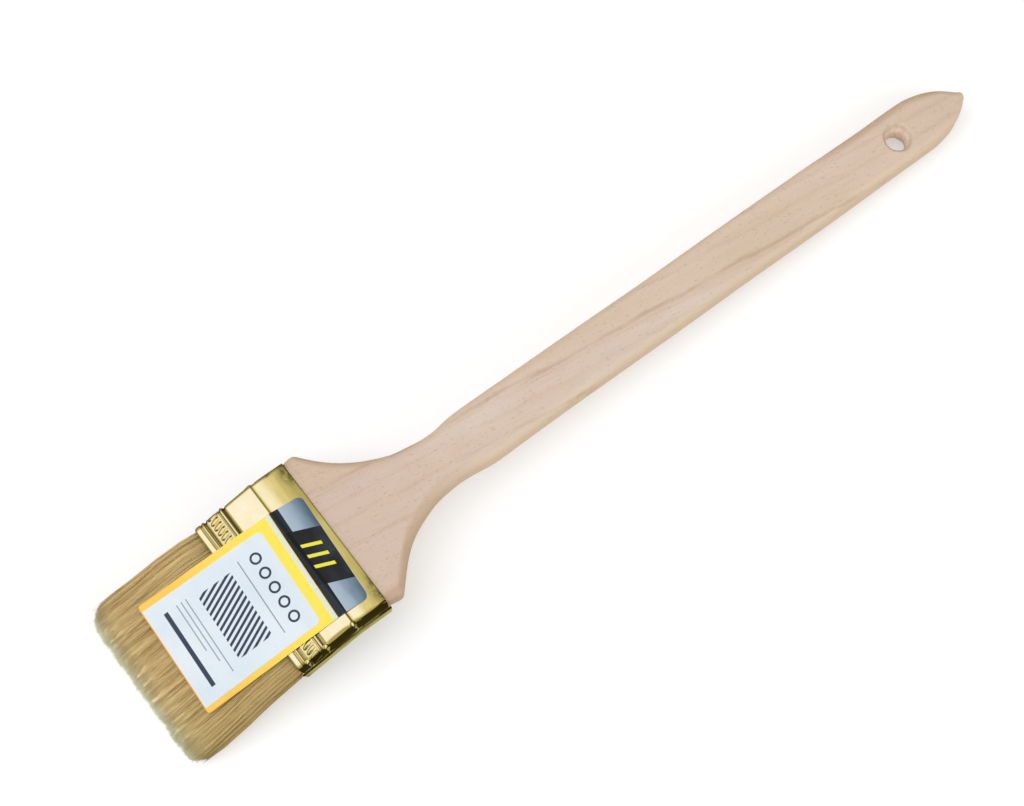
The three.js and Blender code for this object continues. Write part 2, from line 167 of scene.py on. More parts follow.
# ---------------------------------------------------------------- node helpers
class Nodes:
    """Short names for the shader nodes of one material."""

    def __init__(self, name):
        self.material = bpy.data.materials.new(name)
        self.material.use_nodes = True
        self.tree = self.material.node_tree
        self.tree.nodes.clear()
        self.out = self.tree.nodes.new("ShaderNodeOutputMaterial")
        self.shader = self.tree.nodes.new("ShaderNodeBsdfPrincipled")
        self.link(self.shader.outputs[0], self.out.inputs[0])

    def link(self, a, b):
        self.tree.links.new(a, b)

    def put(self, socket, value):
        if isinstance(value, bpy.types.NodeSocket):
            self.link(value, socket)
        elif value is not None:
            if hasattr(socket.default_value, "__len__") and not hasattr(value, "__len__"):
                value = [value] * len(socket.default_value)
            if hasattr(value, "__len__") and len(socket.default_value) == 4 and len(value) == 3:
                value = [*value, 1.0]
            socket.default_value = value

    def node(self, kind, **values):
        n = self.tree.nodes.new(kind)
        for k, v in values.items():
            setattr(n, k, v)
        return n

    def math(self, op, a, b=None, c=None, clamp=False):
        n = self.node("ShaderNodeMath", operation=op, use_clamp=clamp)
        for s, v in zip(n.inputs, (a, b, c)):
            self.put(s, v)
        return n.outputs[0]

    def vector(self, name="spot"):
        return self.node("ShaderNodeAttribute", attribute_name=name).outputs["Vector"]

    def value(self, name):
        return self.node("ShaderNodeAttribute", attribute_name=name).outputs["Fac"]

    def scaled(self, vector, scale, rotation=(0, 0, 0), location=(0, 0, 0)):
        n = self.node("ShaderNodeMapping")
        self.put(n.inputs["Vector"], vector)
        self.put(n.inputs["Location"], location)
        self.put(n.inputs["Rotation"], rotation)
        self.put(n.inputs["Scale"], scale)
        return n.outputs[0]

    def split(self, vector):
        n = self.node("ShaderNodeSeparateXYZ")
        self.put(n.inputs[0], vector)
        return n.outputs

    def noise(self, vector, scale=1.0, detail=3.0, rough=0.5, distortion=0.0):
        n = self.node("ShaderNodeTexNoise")
        self.put(n.inputs["Vector"], vector)
        self.put(n.inputs["Scale"], scale)
        self.put(n.inputs["Detail"], detail)
        self.put(n.inputs["Roughness"], rough)
        self.put(n.inputs["Distortion"], distortion)
        return n.outputs["Fac"]

    def range(self, value, a, b, low=0.0, high=1.0, smooth=False):
        n = self.node("ShaderNodeMapRange", interpolation_type="SMOOTHSTEP" if smooth else "LINEAR")
        n.clamp = True
        for s, v in zip(n.inputs, (value, a, b, low, high)):
            self.put(s, v)
        return n.outputs[0]

    def ramp(self, value, stops, kind="LINEAR"):
        n = self.node("ShaderNodeValToRGB")
        n.color_ramp.interpolation = kind
        e = n.color_ramp.elements
        while len(e) < len(stops):
            e.new(0.5)
        for k, (at, color) in zip(e, stops):
            k.position = at
            k.color = (*color, 1.0)
        self.put(n.inputs[0], value)
        return n.outputs[0]

    def mix(self, fac, a, b, kind="MIX"):
        n = self.node("ShaderNodeMix", data_type="RGBA", blend_type=kind)
        self.put(n.inputs[0], fac)
        self.put(n.inputs[6], a)
        self.put(n.inputs[7], b)
        return n.outputs[2]

    def bump(self, height, distance, strength=1.0, normal=None):
        n = self.node("ShaderNodeBump")
        self.put(n.inputs["Strength"], strength)
        self.put(n.inputs["Distance"], distance)
        self.put(n.inputs["Height"], height)
        if normal is not None:
            self.put(n.inputs["Normal"], normal)
        return n.outputs[0]

    def set(self, **sockets):
        for name, v in sockets.items():
            self.put(self.shader.inputs[name.replace("_", " ")], v)

def tint(r, g, b):
    """sRGB 0 to 255 to linear."""
    def f(c):
        c /= 255.0
        return c / 12.92 if c <= 0.04045 else ((c + 0.055) / 1.055) ** 2.4
    return (f(r), f(g), f(b))


def rgb(r, g, b):
    """Colour of a matt surface that looks like this sRGB colour when it lies level under the lights."""
    return tuple(min(c / LIGHT, 0.93) for c in tint(r, g, b))


# ---------------------------------------------------------------- materials
def wood_material():
    """Sanded beech: pinkish tan, short dark ray flecks, pale specks, a few growth lines and yellower edges."""
    m = Nodes("beech_wood")
    spot = m.vector()
    turned = m.scaled(spot, (1, 1, 1), rotation=(0.0, 0.0, 0.11))      # the grain runs slightly off the handle's line
    # broad drift of the colour
    broad = m.noise(m.scaled(turned, (0.014, 0.10, 0.10)), 1.0, 3.0, 0.55)
    base = m.ramp(broad, [(0.32, rgb(218, 196, 177)), (0.5, rgb(224, 204, 190)), (0.68, rgb(229, 211, 200))])
    at = m.split(spot)
    base = m.mix(m.range(at[0], 25.0, 85.0, 0.66, 0.0, True), base, rgb(207, 181, 165))
    base = m.mix(m.range(at[0], 262.0, 300.0, 0.0, 0.35, True), base, rgb(208, 186, 168))
    blotch = m.noise(m.scaled(turned, (0.05, 0.22, 0.22), location=(4, 2, 6)), 1.0, 4.0, 0.6, 0.6)
    base = m.mix(m.range(blotch, 0.46, 0.66, 0.0, 0.36, True), base, rgb(219, 196, 168))
    # fine fibres
    fibre = m.noise(m.scaled(turned, (0.09, 3.4, 3.4)), 1.0, 4.0, 0.6)
    base = m.mix(m.range(fibre, 0.32, 0.72, 0.0, 0.22), base, rgb(190, 163, 144))
    pale = m.noise(m.scaled(turned, (0.12, 1.9, 1.9), location=(7, 3, 1)), 1.0, 3.0, 0.6)
    base = m.mix(m.range(pale, 0.5, 0.8, 0.0, 0.4), base, rgb(229, 210, 195))
    # growth lines: distance from a slightly curved run of the grain
    warp = m.noise(m.scaled(spot, (0.05, 0.16, 0.16), location=(3, 1, 0)), 1.0, 5.0, 0.6)
    run = m.math("MULTIPLY_ADD", m.math("MULTIPLY", at[0], at[0]), -6.4e-5, at[1])
    run = m.math("MULTIPLY_ADD", at[0], 0.1331, run)
    run = m.math("ADD", m.math("MULTIPLY_ADD", at[2], 0.35, run), -20.6)
    run = m.math("MULTIPLY_ADD", m.math("SUBTRACT", warp, 0.5), 3.6, run)
    base = m.mix(m.range(run, -4.5, 0.3, 0.0, 0.3, True), base, rgb(218, 190, 158))
    base = m.mix(m.range(run, -7.5, -3.5, 0.3, 0.0, True), base, rgb(216, 193, 172))
    breaks = m.noise(m.scaled(turned, (0.045, 0.4, 0.4)), 1.0, 3.0, 0.6)
    for place_at, wide, strength in ((0.0, 1.5, 0.5), (-1.9, 0.9, 0.16), (9.3, 1.3, 0.22), (-7.6, 1.2, 0.16), (16.5, 1.2, 0.22),
                                     (25.0, 1.3, 0.22), (-14.5, 1.2, 0.22), (-24.0, 1.3, 0.25), (33.0, 1.4, 0.22)):
        off = m.math("ABSOLUTE", m.math("SUBTRACT", run, place_at))
        line = m.math("MULTIPLY", m.range(off, 0.0, wide, 1.0, 0.0, True), m.range(breaks, 0.36, 0.62, 0.15, 1.0))
        base = m.mix(m.math("MULTIPLY", line, strength), base, rgb(178, 142, 116))
    # short dark flecks, each a thin lens along the grain
    fleck = None
    for scale, shift, width, share in (((0.27, 1.25, 1.25), (0, 0, 0), 0.26, 0.62), ((0.5, 1.9, 1.9), (5, 2, 9), 0.27, 0.52)):
        v = m.node("ShaderNodeTexVoronoi", feature="F1")
        m.put(v.inputs["Vector"], m.scaled(turned, scale, location=shift))
        m.put(v.inputs["Scale"], 1.0)
        m.put(v.inputs["Randomness"], 1.0)
        d = m.range(v.outputs["Distance"], width * 0.45, width, 1.0, 0.0, True)
        pick = m.split(v.outputs["Color"])
        d = m.math("MULTIPLY", d, m.range(pick[0], share, share + 0.12))
        fleck = d if fleck is None else m.math("MAXIMUM", fleck, d)
    base = m.mix(m.math("MULTIPLY", fleck, 0.4), base, rgb(158, 130, 108))
    # small pale specks of cut rays
    v = m.node("ShaderNodeTexVoronoi", feature="F1")
    m.put(v.inputs["Vector"], m.scaled(turned, (0.8, 1.7, 1.7), location=(9, 4, 2)))
    m.put(v.inputs["Scale"], 1.0)
    speck = m.math("MULTIPLY", m.range(v.outputs["Distance"], 0.08, 0.2, 1.0, 0.0, True),
                   m.range(m.split(v.outputs["Color"])[1], 0.72, 0.82))
    base = m.mix(m.math("MULTIPLY", speck, 0.5), base, rgb(240, 226, 214))
    # edges: yellower where the machine rounded them; painted shade makes them browner near the head and along the +y
    # edge towards the end
    edge = m.value("edge")
    wobble = m.noise(m.scaled(spot, (0.06, 0.4, 0.4)), 1.0, 3.0)
    # painted shade: towards the head both edges are darker and browner for a few millimetres, most on the seam side,
    # and the +y edge also darkens towards the end of the handle
    rim = m.value("rim")
    away = m.math("MULTIPLY", m.range(rim, 0.0, 0.6, 0.0, 1.0, True), m.range(wobble, 0.3, 0.6, 0.65, 1.0))
    lower = m.math("MULTIPLY", m.range(at[1], -2.0, -6.0), m.range(at[0], 26.0, 80.0, 0.85, 0.0, True))
    upper = m.math("MULTIPLY", m.range(at[1], 2.0, 6.0), m.math("MAXIMUM", m.range(at[0], 26.0, 80.0, 0.32, 0.0, True),
                                                                 m.range(at[0], 232.0, 258.0, 0.0, 0.65, True)))
    base = m.mix(m.math("MULTIPLY", away, m.math("MAXIMUM", lower, upper)), base, rgb(196, 165, 138))
    tan = m.math("MULTIPLY", m.range(edge, 0.1, 0.8), m.range(wobble, 0.3, 0.6, 0.55, 1.0))
    # painted shade: where it lies, the rounded edges take a browner colour
    base = m.mix(m.math("MULTIPLY", tan, 0.6), base, m.mix(m.math("MAXIMUM", lower, upper), rgb(226, 203, 174), rgb(196, 168, 134)))
    # the sawn narrow sides, browner under the same painted shade, and browner in a few places
    base = m.mix(m.range(edge, 0.74, 1.0, 0.0, 0.85, True), base, m.mix(m.math("MAXIMUM", lower, upper), rgb(224, 199, 168), rgb(198, 170, 138)))
    burn = m.noise(m.scaled(spot, (0.05, 0.25, 0.25), location=(1, 8, 3)), 1.0, 3.0, 0.6)
    base = m.mix(m.math("MULTIPLY", m.range(edge, 0.3, 0.9, 0.0, 1.0, True), m.range(burn, 0.60, 0.72, 0.0, 0.4, True)),
                 base, rgb(176, 148, 112))
    # inside of the hole: end grain, browner; painted shade darkens it towards the middle of the board, and painted
    # light makes it paler than the face near both faces
    bore = m.value("bore")
    cut = m.noise(m.scaled(spot, (1.3, 1.3, 0.35)), 1.0, 4.0, 0.65)
    deep = m.range(m.math("ABSOLUTE", at[2]), 5.7, 3.0, 0.0, 1.0, True)
    grain = m.mix(m.range(cut, 0.3, 0.7), (0.42, 0.32, 0.25), (0.56, 0.45, 0.37))
    base = m.mix(bore, base, m.mix(deep, grain, m.mix(m.range(cut, 0.3, 0.7), (0.70, 0.54, 0.42), (0.88, 0.73, 0.60))))
    m.set(Base_Color=base)
    m.set(Roughness=m.range(fibre, 0.3, 0.7, 0.55, 0.72))
    m.shader.inputs["Specular IOR Level"].default_value = 0.28
    height = m.math("ADD", m.math("MULTIPLY", fibre, 0.5), m.math("MULTIPLY", fleck, -0.9))
    rag = m.math("MULTIPLY", m.noise(m.scaled(spot, (2.2, 2.2, 2.2)), 1.0, 4.0, 0.7), m.math("MULTIPLY", bore, 3.0))
    m.set(Normal=m.bump(m.math("ADD", height, rag), 0.00007, 0.6))
    return m.material


def tinplate_material():
    """Bright brass-coloured tinplate under clear lacquer: painted shade in the pressed hollows, round a chain of rings
    and towards the top edge, and darker places.
    """
    m = Nodes("brass_tinplate_bright")
    spot = m.vector()
    cloud = m.noise(m.scaled(spot, (0.16, 0.1, 0.16)), 1.0, 4.0, 0.6)
    color = m.ramp(cloud, [(0.3, (0.90, 0.77, 0.36)), (0.55, (0.94, 0.82, 0.42)), (0.75, (0.96, 0.86, 0.48))])
    # darker places near the top edge and the corners
    dark_patch = m.value("dark_patch")
    grime = m.noise(m.scaled(spot, (0.5, 0.32, 0.5), location=(4, 9, 2)), 1.0, 5.0, 0.7)
    spots = m.noise(m.scaled(spot, (1.6, 1.6, 1.6)), 1.0, 3.0, 0.7)
    dark = m.math("MULTIPLY", dark_patch, m.range(grime, 0.30, 0.54))
    dark = m.math("MULTIPLY", dark, m.range(spots, 0.25, 0.65, 0.5, 1.0))
    # painted shade: the sheet dims evenly towards its top edge, standing in for its darker reflection there
    painted_top_shade = m.math("MULTIPLY", m.value("painted_top_shade"), m.range(grime, 0.3, 0.65, 0.75, 1.0))
    color = m.mix(painted_top_shade, color, (0.44, 0.40, 0.24), "MULTIPLY")
    color = m.mix(m.math("MULTIPLY", dark, 0.88), color, (0.09, 0.075, 0.02))
    # painted shade: nearly black in the pressed grooves, the crease and inside the sheet
    color = m.mix(m.value("painted_recess_shade"), color, (0.034, 0.024, 0.003))
    # painted shade round the chain of slanted rings pressed into the raised band: dark between them, on two sides of
    # each ring
    arc, below = m.value("arc"), m.value("below")
    dl = m.math("SUBTRACT", below, RING_AT)
    turn = m.math("MULTIPLY_ADD", dl, RING_LEAN, m.math("SUBTRACT", arc, RING_PHASE))
    part = m.math("SUBTRACT", m.math("FRACT", m.math("ADD", m.math("DIVIDE", turn, RING_PITCH), 0.5)), 0.5)
    u = m.math("MULTIPLY", part, RING_PITCH)                  # millimetres from the middle of a bar, towards +y
    v = dl
    ringed = m.value("ringed")

    def blob(cu, cv, ru, rv, tilt, soft=0.5):
        """Soft oval spot about (cu, cv), its length turned by tilt."""
        du, dv = m.math("SUBTRACT", u, cu), m.math("SUBTRACT", v, cv)
        c, s = math.cos(tilt), math.sin(tilt)
        a = m.math("DIVIDE", m.math("MULTIPLY_ADD", du, c, m.math("MULTIPLY", dv, s)), ru)
        b = m.math("DIVIDE", m.math("MULTIPLY_ADD", du, -s, m.math("MULTIPLY", dv, c)), rv)
        away = m.math("SQRT", m.math("MULTIPLY_ADD", a, a, m.math("MULTIPLY", b, b)))
        return m.range(away, 1 - soft, 1 + soft * 0.6, 1.0, 0.0, True)

    uu, vv = m.math("DIVIDE", m.math("ABSOLUTE", u), RING_HALF[0]), m.math("DIVIDE", m.math("ABSOLUTE", v), RING_HALF[1])
    d = m.math("POWER", m.math("ADD", m.math("POWER", uu, 2.4), m.math("POWER", vv, 2.4)), 1 / 2.4)
    band = m.range(m.math("DIVIDE", m.math("ABSOLUTE", m.math("SUBTRACT", d, 1.0)), 0.16), 0.3, 1.2, 1.0, 0.0, True)
    # painted shade: a thin brown line down the +y flank of each bar and round its lower end, with a dark hook at both
    # ends
    around = m.math("MAXIMUM", m.range(u, -0.15, 0.25), m.math("MULTIPLY", m.range(v, 0.9, 1.4), 1.0))
    line = m.math("MULTIPLY", m.math("MULTIPLY", band, around), m.range(m.math("MULTIPLY_ADD", v, 1.0, m.math("MULTIPLY", u, 1.2)), -1.9, -1.2))
    left = m.range(arc, -8.0, 8.0)
    hook = m.math("MULTIPLY", blob(0.48, -1.28, 0.36, 0.60, -0.5), left)
    foot = blob(-0.44, 1.28, 0.34, 0.54, -0.35)
    inner = m.math("MULTIPLY", blob(-0.26, 0.55, 0.30, 1.15, -0.12, 0.7), m.math("SUBTRACT", 1.0, left))
    # painted shade: the whole band of rings is dimmer and yellower
    color = m.mix(ringed, color, (0.88, 0.84, 0.62), "MULTIPLY")
    color = m.mix(m.math("MULTIPLY", ringed, m.math("MULTIPLY", line, 0.74)), color, (0.14, 0.095, 0.015))
    painted_ring_shade = m.math("MAXIMUM", m.math("MAXIMUM", hook, foot), m.math("MULTIPLY", inner, 0.9))
    color = m.mix(m.math("MULTIPLY", ringed, m.math("MULTIPLY", painted_ring_shade, 0.93)), color, (0.07, 0.046, 0.006))
    m.set(Base_Color=color)
    m.shader.inputs["Metallic"].default_value = 1.0
    scratch = m.noise(m.scaled(spot, (3.0, 0.3, 3.0)), 1.0, 3.0, 0.6)
    m.set(Roughness=m.math("ADD", m.range(scratch, 0.3, 0.7, 0.09, 0.15), m.math("MULTIPLY", dark, 0.22)))
    m.shader.inputs["Coat Weight"].default_value = 0.12
    m.shader.inputs["Coat Roughness"].default_value = 0.06
    dents = m.noise(m.scaled(spot, (0.35, 0.12, 0.35)), 1.0, 2.0, 0.5)
    fine = m.noise(m.scaled(spot, (5.0, 0.7, 5.0)), 1.0, 2.0, 0.5)
    m.set(Normal=m.bump(m.math("ADD", dents, m.math("MULTIPLY", fine, 0.03)), 0.00016, 0.3))
    return m.material


def bristle_material(name, strength):
    """Natural hog bristle: khaki with browner roots and short darker streaks, pale split tips made paler still by
    painted light; the packed core carries painted shade.
    """
    m = Nodes(name)
    spot = m.vector("lay")                       # x along the hair, y and z across the tuft, in millimetres
    tone = m.value("tone")
    along = m.value("along")
    streak = m.noise(m.scaled(spot, (0.09, 2.4, 2.4)), 1.0, 4.0, 0.62)
    broad = m.noise(m.scaled(spot, (0.025, 0.2, 0.3), location=(2, 5, 1)), 1.0, 2.0, 0.5)
    mixed = m.math("ADD", m.math("MULTIPLY", tone, 0.5), m.math("MULTIPLY", streak, 0.5))
    mixed = m.math("ADD", mixed, m.math("MULTIPLY", m.math("SUBTRACT", broad, 0.5), 0.3))
    color = m.ramp(mixed, [(0.22, tint(140, 112, 62)), (0.38, tint(178, 149, 94)), (0.5, tint(200, 173, 117)),
                           (0.64, tint(212, 186, 130)), (0.85, tint(232, 212, 164))])
    # browner near the ferrule; pale and greenish only at the very tips, partly their own colour and partly painted
    # light
    shade = m.range(along, 0.30, 0.50, 0.26, 0.0, True)
    color = m.mix(shade, color, tint(168, 138, 86))
    color = m.mix(m.range(along, 0.82, 0.94, 0.0, 0.4, True), color, tint(228, 211, 164))
    fade = m.range(m.math("ADD", along, m.math("MULTIPLY", m.math("SUBTRACT", tone, 0.5), 0.03)), 0.925, 0.98, 0.0, 1.0, True)
    color = m.mix(m.math("MULTIPLY", fade, 0.85), color, tint(242, 243, 212))
    # the seam side of the tuft is browner
    color = m.mix(m.range(m.split(spot)[1], -6.0, -27.0, 0.0, 0.85, True), color, (0.87, 0.885, 0.84), "MULTIPLY")
    # painted shade: the packed core below the strands is darker, except towards the tips
    if strength < 1:
        color = m.mix(m.range(along, 0.8, 0.93, 1 - strength, 0.0), color, tint(150, 122, 74))
    m.set(Base_Color=color)
    m.set(Roughness=m.range(streak, 0.3, 0.7, 0.45, 0.62))
    m.shader.inputs["Specular IOR Level"].default_value = 0.35
    if strength < 1:
        m.set(Normal=m.bump(m.noise(m.scaled(spot, (0.06, 5.0, 5.0)), 1.0, 3.0, 0.6), 0.0003, 0.8))
    return m.material


def label_material():
    """Coated sheet with a plain printed layout: dark heading carrying a painted reflection, yellow frame, pale panel
    with plain shapes.
    """
    m = Nodes("printed_sheet_coated")
    uv = m.node("ShaderNodeUVMap", uv_map="pattern").outputs[0]
    s = m.split(uv)
    u = m.math("MULTIPLY", s[0], 100.0)          # millimetres from the left edge
    w = m.math("MULTIPLY", s[1], 100.0)          # millimetres from the top edge
    SOFT = 0.07

    def step(value, at):
        if isinstance(at, (int, float)):
            return m.range(value, at - SOFT, at + SOFT)
        return m.range(m.math("SUBTRACT", value, at), -SOFT, SOFT)

    def less(mask):
        return m.math("SUBTRACT", 1.0, mask)

    def both(a, b):
        return m.math("MULTIPLY", a, b)

    def union(*masks):
        out = masks[0]
        for k in masks[1:]:
            out = m.math("MAXIMUM", out, k)
        return out

    def box(u0, u1, w0, w1):
        return both(both(step(u, u0), less(step(u, u1))), both(step(w, w0), less(step(w, w1))))

    def disc(cu, cw, r0, r1):
        du, dw = m.math("SUBTRACT", u, cu), m.math("SUBTRACT", w, cw)
        d = m.math("SQRT", m.math("ADD", both(du, du), both(dw, dw)))
        return less(step(d, r1)) if r0 is None else both(step(d, r0), less(step(d, r1)))

    color = m.mix(m.range(w, 14.0, 60.0, 0.0, 1.0, True), rgb(255, 226, 74), rgb(248, 200, 78))
    # thin orange line along the edges of the sheet
    rim = union(less(step(u, 0.3)), step(u, LABEL_U - 0.3), step(w, LABEL_W - 0.4))
    color = m.mix(both(rim, m.range(w, 40.0, 64.0, 0.0, 0.85, True)), color, rgb(238, 166, 56))
    # pale panel, open at the lower edge, with rounded upper corners and slightly uneven side margins
    left = m.range(w, 18.0, LABEL_W, 2.9, 2.45)
    right = m.range(w, 18.0, LABEL_W, LABEL_U - 2.5, LABEL_U - 2.2)
    r = 2.0
    cw = m.math("MAXIMUM", m.math("SUBTRACT", 18.2 + r, w), 0.0)
    cl = m.math("MAXIMUM", m.math("SUBTRACT", m.math("ADD", left, r), u), 0.0)
    cr = m.math("MAXIMUM", m.math("SUBTRACT", u, m.math("SUBTRACT", right, r)), 0.0)
    cu = m.math("MAXIMUM", cl, cr)
    d = m.math("SQRT", m.math("ADD", both(cu, cu), both(cw, cw)))
    panel = both(less(step(d, r)), less(step(w, LABEL_W - 0.4)))
    pale = m.mix(m.range(m.noise(m.scaled(uv, (6, 5, 1)), 1.0, 3.0), 0.35, 0.65), rgb(214, 226, 234), rgb(223, 232, 238))
    color = m.mix(panel, color, pale)
    # heading: steel blue field that is a painted reflection of the lights on the dark sheet, dark band, pale line
    color = m.mix(less(step(w, 14.2)), color, rgb(216, 223, 226))
    color = m.mix(less(step(w, 12.75)), color, rgb(236, 214, 70))
    # painted reflection: a clouded gradient from dark to pale steel blue down the heading
    clouds = m.noise(m.scaled(uv, (5, 16, 1)), 1.0, 3.0, 0.55)
    down = m.math("MULTIPLY_ADD", m.math("SUBTRACT", clouds, 0.5), 7.0, w)
    steel = m.ramp(m.range(down, -1.0, 9.5), [(0.0, rgb(58, 78, 96)), (0.35, rgb(114, 137, 154)), (0.7, rgb(158, 178, 194)),
                                              (1.0, rgb(174, 190, 206))])
    color = m.mix(less(step(w, 12.4)), color, rgb(20, 32, 44))
    color = m.mix(less(step(w, 9.1)), color, steel)
    # dark middle field of the heading with slanted ends, and three plain bars in it
    lean = m.math("MULTIPLY_ADD", w, 0.35, u)
    field = both(both(step(lean, 13.0), less(step(lean, 35.0))), less(step(w, 12.4)))
    color = m.mix(field, color, rgb(12, 17, 26))
    # painted reflection: a paler blue sheen on the upper part of the dark field
    gleam = m.range(m.noise(m.scaled(uv, (7, 9, 1), location=(2, 1, 0)), 1.0, 3.0), 0.42, 0.7, 0.0, 0.5)
    color = m.mix(both(field, both(gleam, less(m.range(w, 3.0, 8.0)))), color, rgb(60, 76, 96))
    bars = union(*[both(both(step(lean, a), less(step(lean, a + 1.3))), both(step(w, 2.8), less(step(w, 9.6))))
                   for a in (18.6, 22.9, 27.2)])
    color = m.mix(bars, color, rgb(240, 232, 60))
    # plain shapes on the panel
    ink, grey = rgb(44, 56, 74), rgb(132, 144, 158)
    color = m.mix(union(*[disc(a, 24.6, 1.35, 2.15) for a in (10.2, 16.2, 22.2, 28.2, 34.2)]), color, ink)
    color = m.mix(box(7.4, 37.0, 30.2, 30.6), color, grey)
    # block of even slanted bars
    comb_at = m.math("MULTIPLY_ADD", w, -0.45, u)
    comb = m.math("FRACT", m.math("DIVIDE", m.math("ADD", comb_at, 100.0), 2.1))
    comb = both(m.range(comb, 0.0, 0.06), m.range(comb, 0.5, 0.56, 1.0, 0.0))
    color = m.mix(both(comb, box(9.0, 35.0, 34.4, 48.6)), color, ink)
    rules = union(*[box(7.4, 37.0 - 5.5 * k, 52.4 + 1.9 * k, 52.85 + 1.9 * k) for k in range(3)])
    color = m.mix(m.math("MULTIPLY", rules, 0.85), color, grey)
    color = m.mix(box(7.4, 37.0, 60.2, 61.9), color, ink)
    color = m.mix(m.value("back"), color, rgb(228, 228, 222))
    m.set(Base_Color=color)
    m.set(Roughness=m.range(m.noise(m.scaled(uv, (40, 40, 1)), 1.0, 3.0), 0.3, 0.7, 0.26, 0.36))
    m.shader.inputs["Specular IOR Level"].default_value = 0.32
    m.shader.inputs["Coat Weight"].default_value = 0.12
    m.shader.inputs["Coat Roughness"].default_value = 0.12
    wrinkle = m.noise(m.scaled(uv, (11, 7, 1)), 1.0, 3.0, 0.5)
    m.set(Normal=m.bump(wrinkle, 0.0004, 0.22))
    return m.material


def plug_material():
    """Sawn softwood strip."""
    m = Nodes("softwood_strip")
    at = m.node("ShaderNodeTexCoord").outputs["Object"]
    grain = m.noise(m.scaled(at, (1500, 40, 1500)), 1.0, 4.0, 0.6)
    rings = m.noise(m.scaled(at, (300, 12, 300)), 1.0, 2.0)
    color = m.mix(m.range(rings, 0.35, 0.65), rgb(206, 172, 124), rgb(184, 142, 92))
    color = m.mix(m.range(grain, 0.4, 0.7, 0.0, 0.5), color, rgb(150, 110, 68))
    m.set(Base_Color=color, Roughness=m.range(grain, 0.3, 0.7, 0.6, 0.8))
    m.set(Normal=m.bump(grain, 0.0001, 0.7))
    return m.material


def resin_material():
    """Cured amber resin that holds the roots of the bristles."""
    m = Nodes("amber_resin")
    at = m.node("ShaderNodeTexCoord").outputs["Object"]
    cloud = m.noise(m.scaled(at, (160, 160, 160)), 1.0, 4.0, 0.6)
    bubbles = m.node("ShaderNodeTexVoronoi", feature="F1")
    m.put(bubbles.inputs["Vector"], m.scaled(at, (900, 900, 900)))
    bubble = m.range(bubbles.outputs["Distance"], 0.1, 0.3, 1.0, 0.0)
    color = m.mix(m.range(cloud, 0.35, 0.65), rgb(140, 88, 38), rgb(176, 122, 62))
    color = m.mix(m.math("MULTIPLY", bubble, 0.4), color, rgb(206, 164, 104))
    m.set(Base_Color=color, Roughness=m.range(cloud, 0.3, 0.7, 0.25, 0.42))
    m.set(Normal=m.bump(bubble, 0.0001, 0.5))
    return m.material


def nail_material():
    """Small brass-plated steel nail, slightly dulled."""
    m = Nodes("plated_nail")
    spot = m.vector()
    spots = m.noise(m.scaled(spot, (1.4, 1.4, 1.4)), 1.0, 4.0, 0.6)
    color = m.mix(m.range(spots, 0.35, 0.7), (0.86, 0.72, 0.36), (0.55, 0.45, 0.2))
    m.set(Base_Color=color, Roughness=m.range(spots, 0.3, 0.7, 0.2, 0.42))
    m.shader.inputs["Metallic"].default_value = 1.0
    m.set(Normal=m.bump(m.noise(m.scaled(spot, (6, 6, 6)), 1.0, 2.0), 0.00004, 0.5))
    return m.material


# ---------------------------------------------------------------- handle
def edge_at(table, x):
    return pchip(table[:, 0], table[:, 1], x)


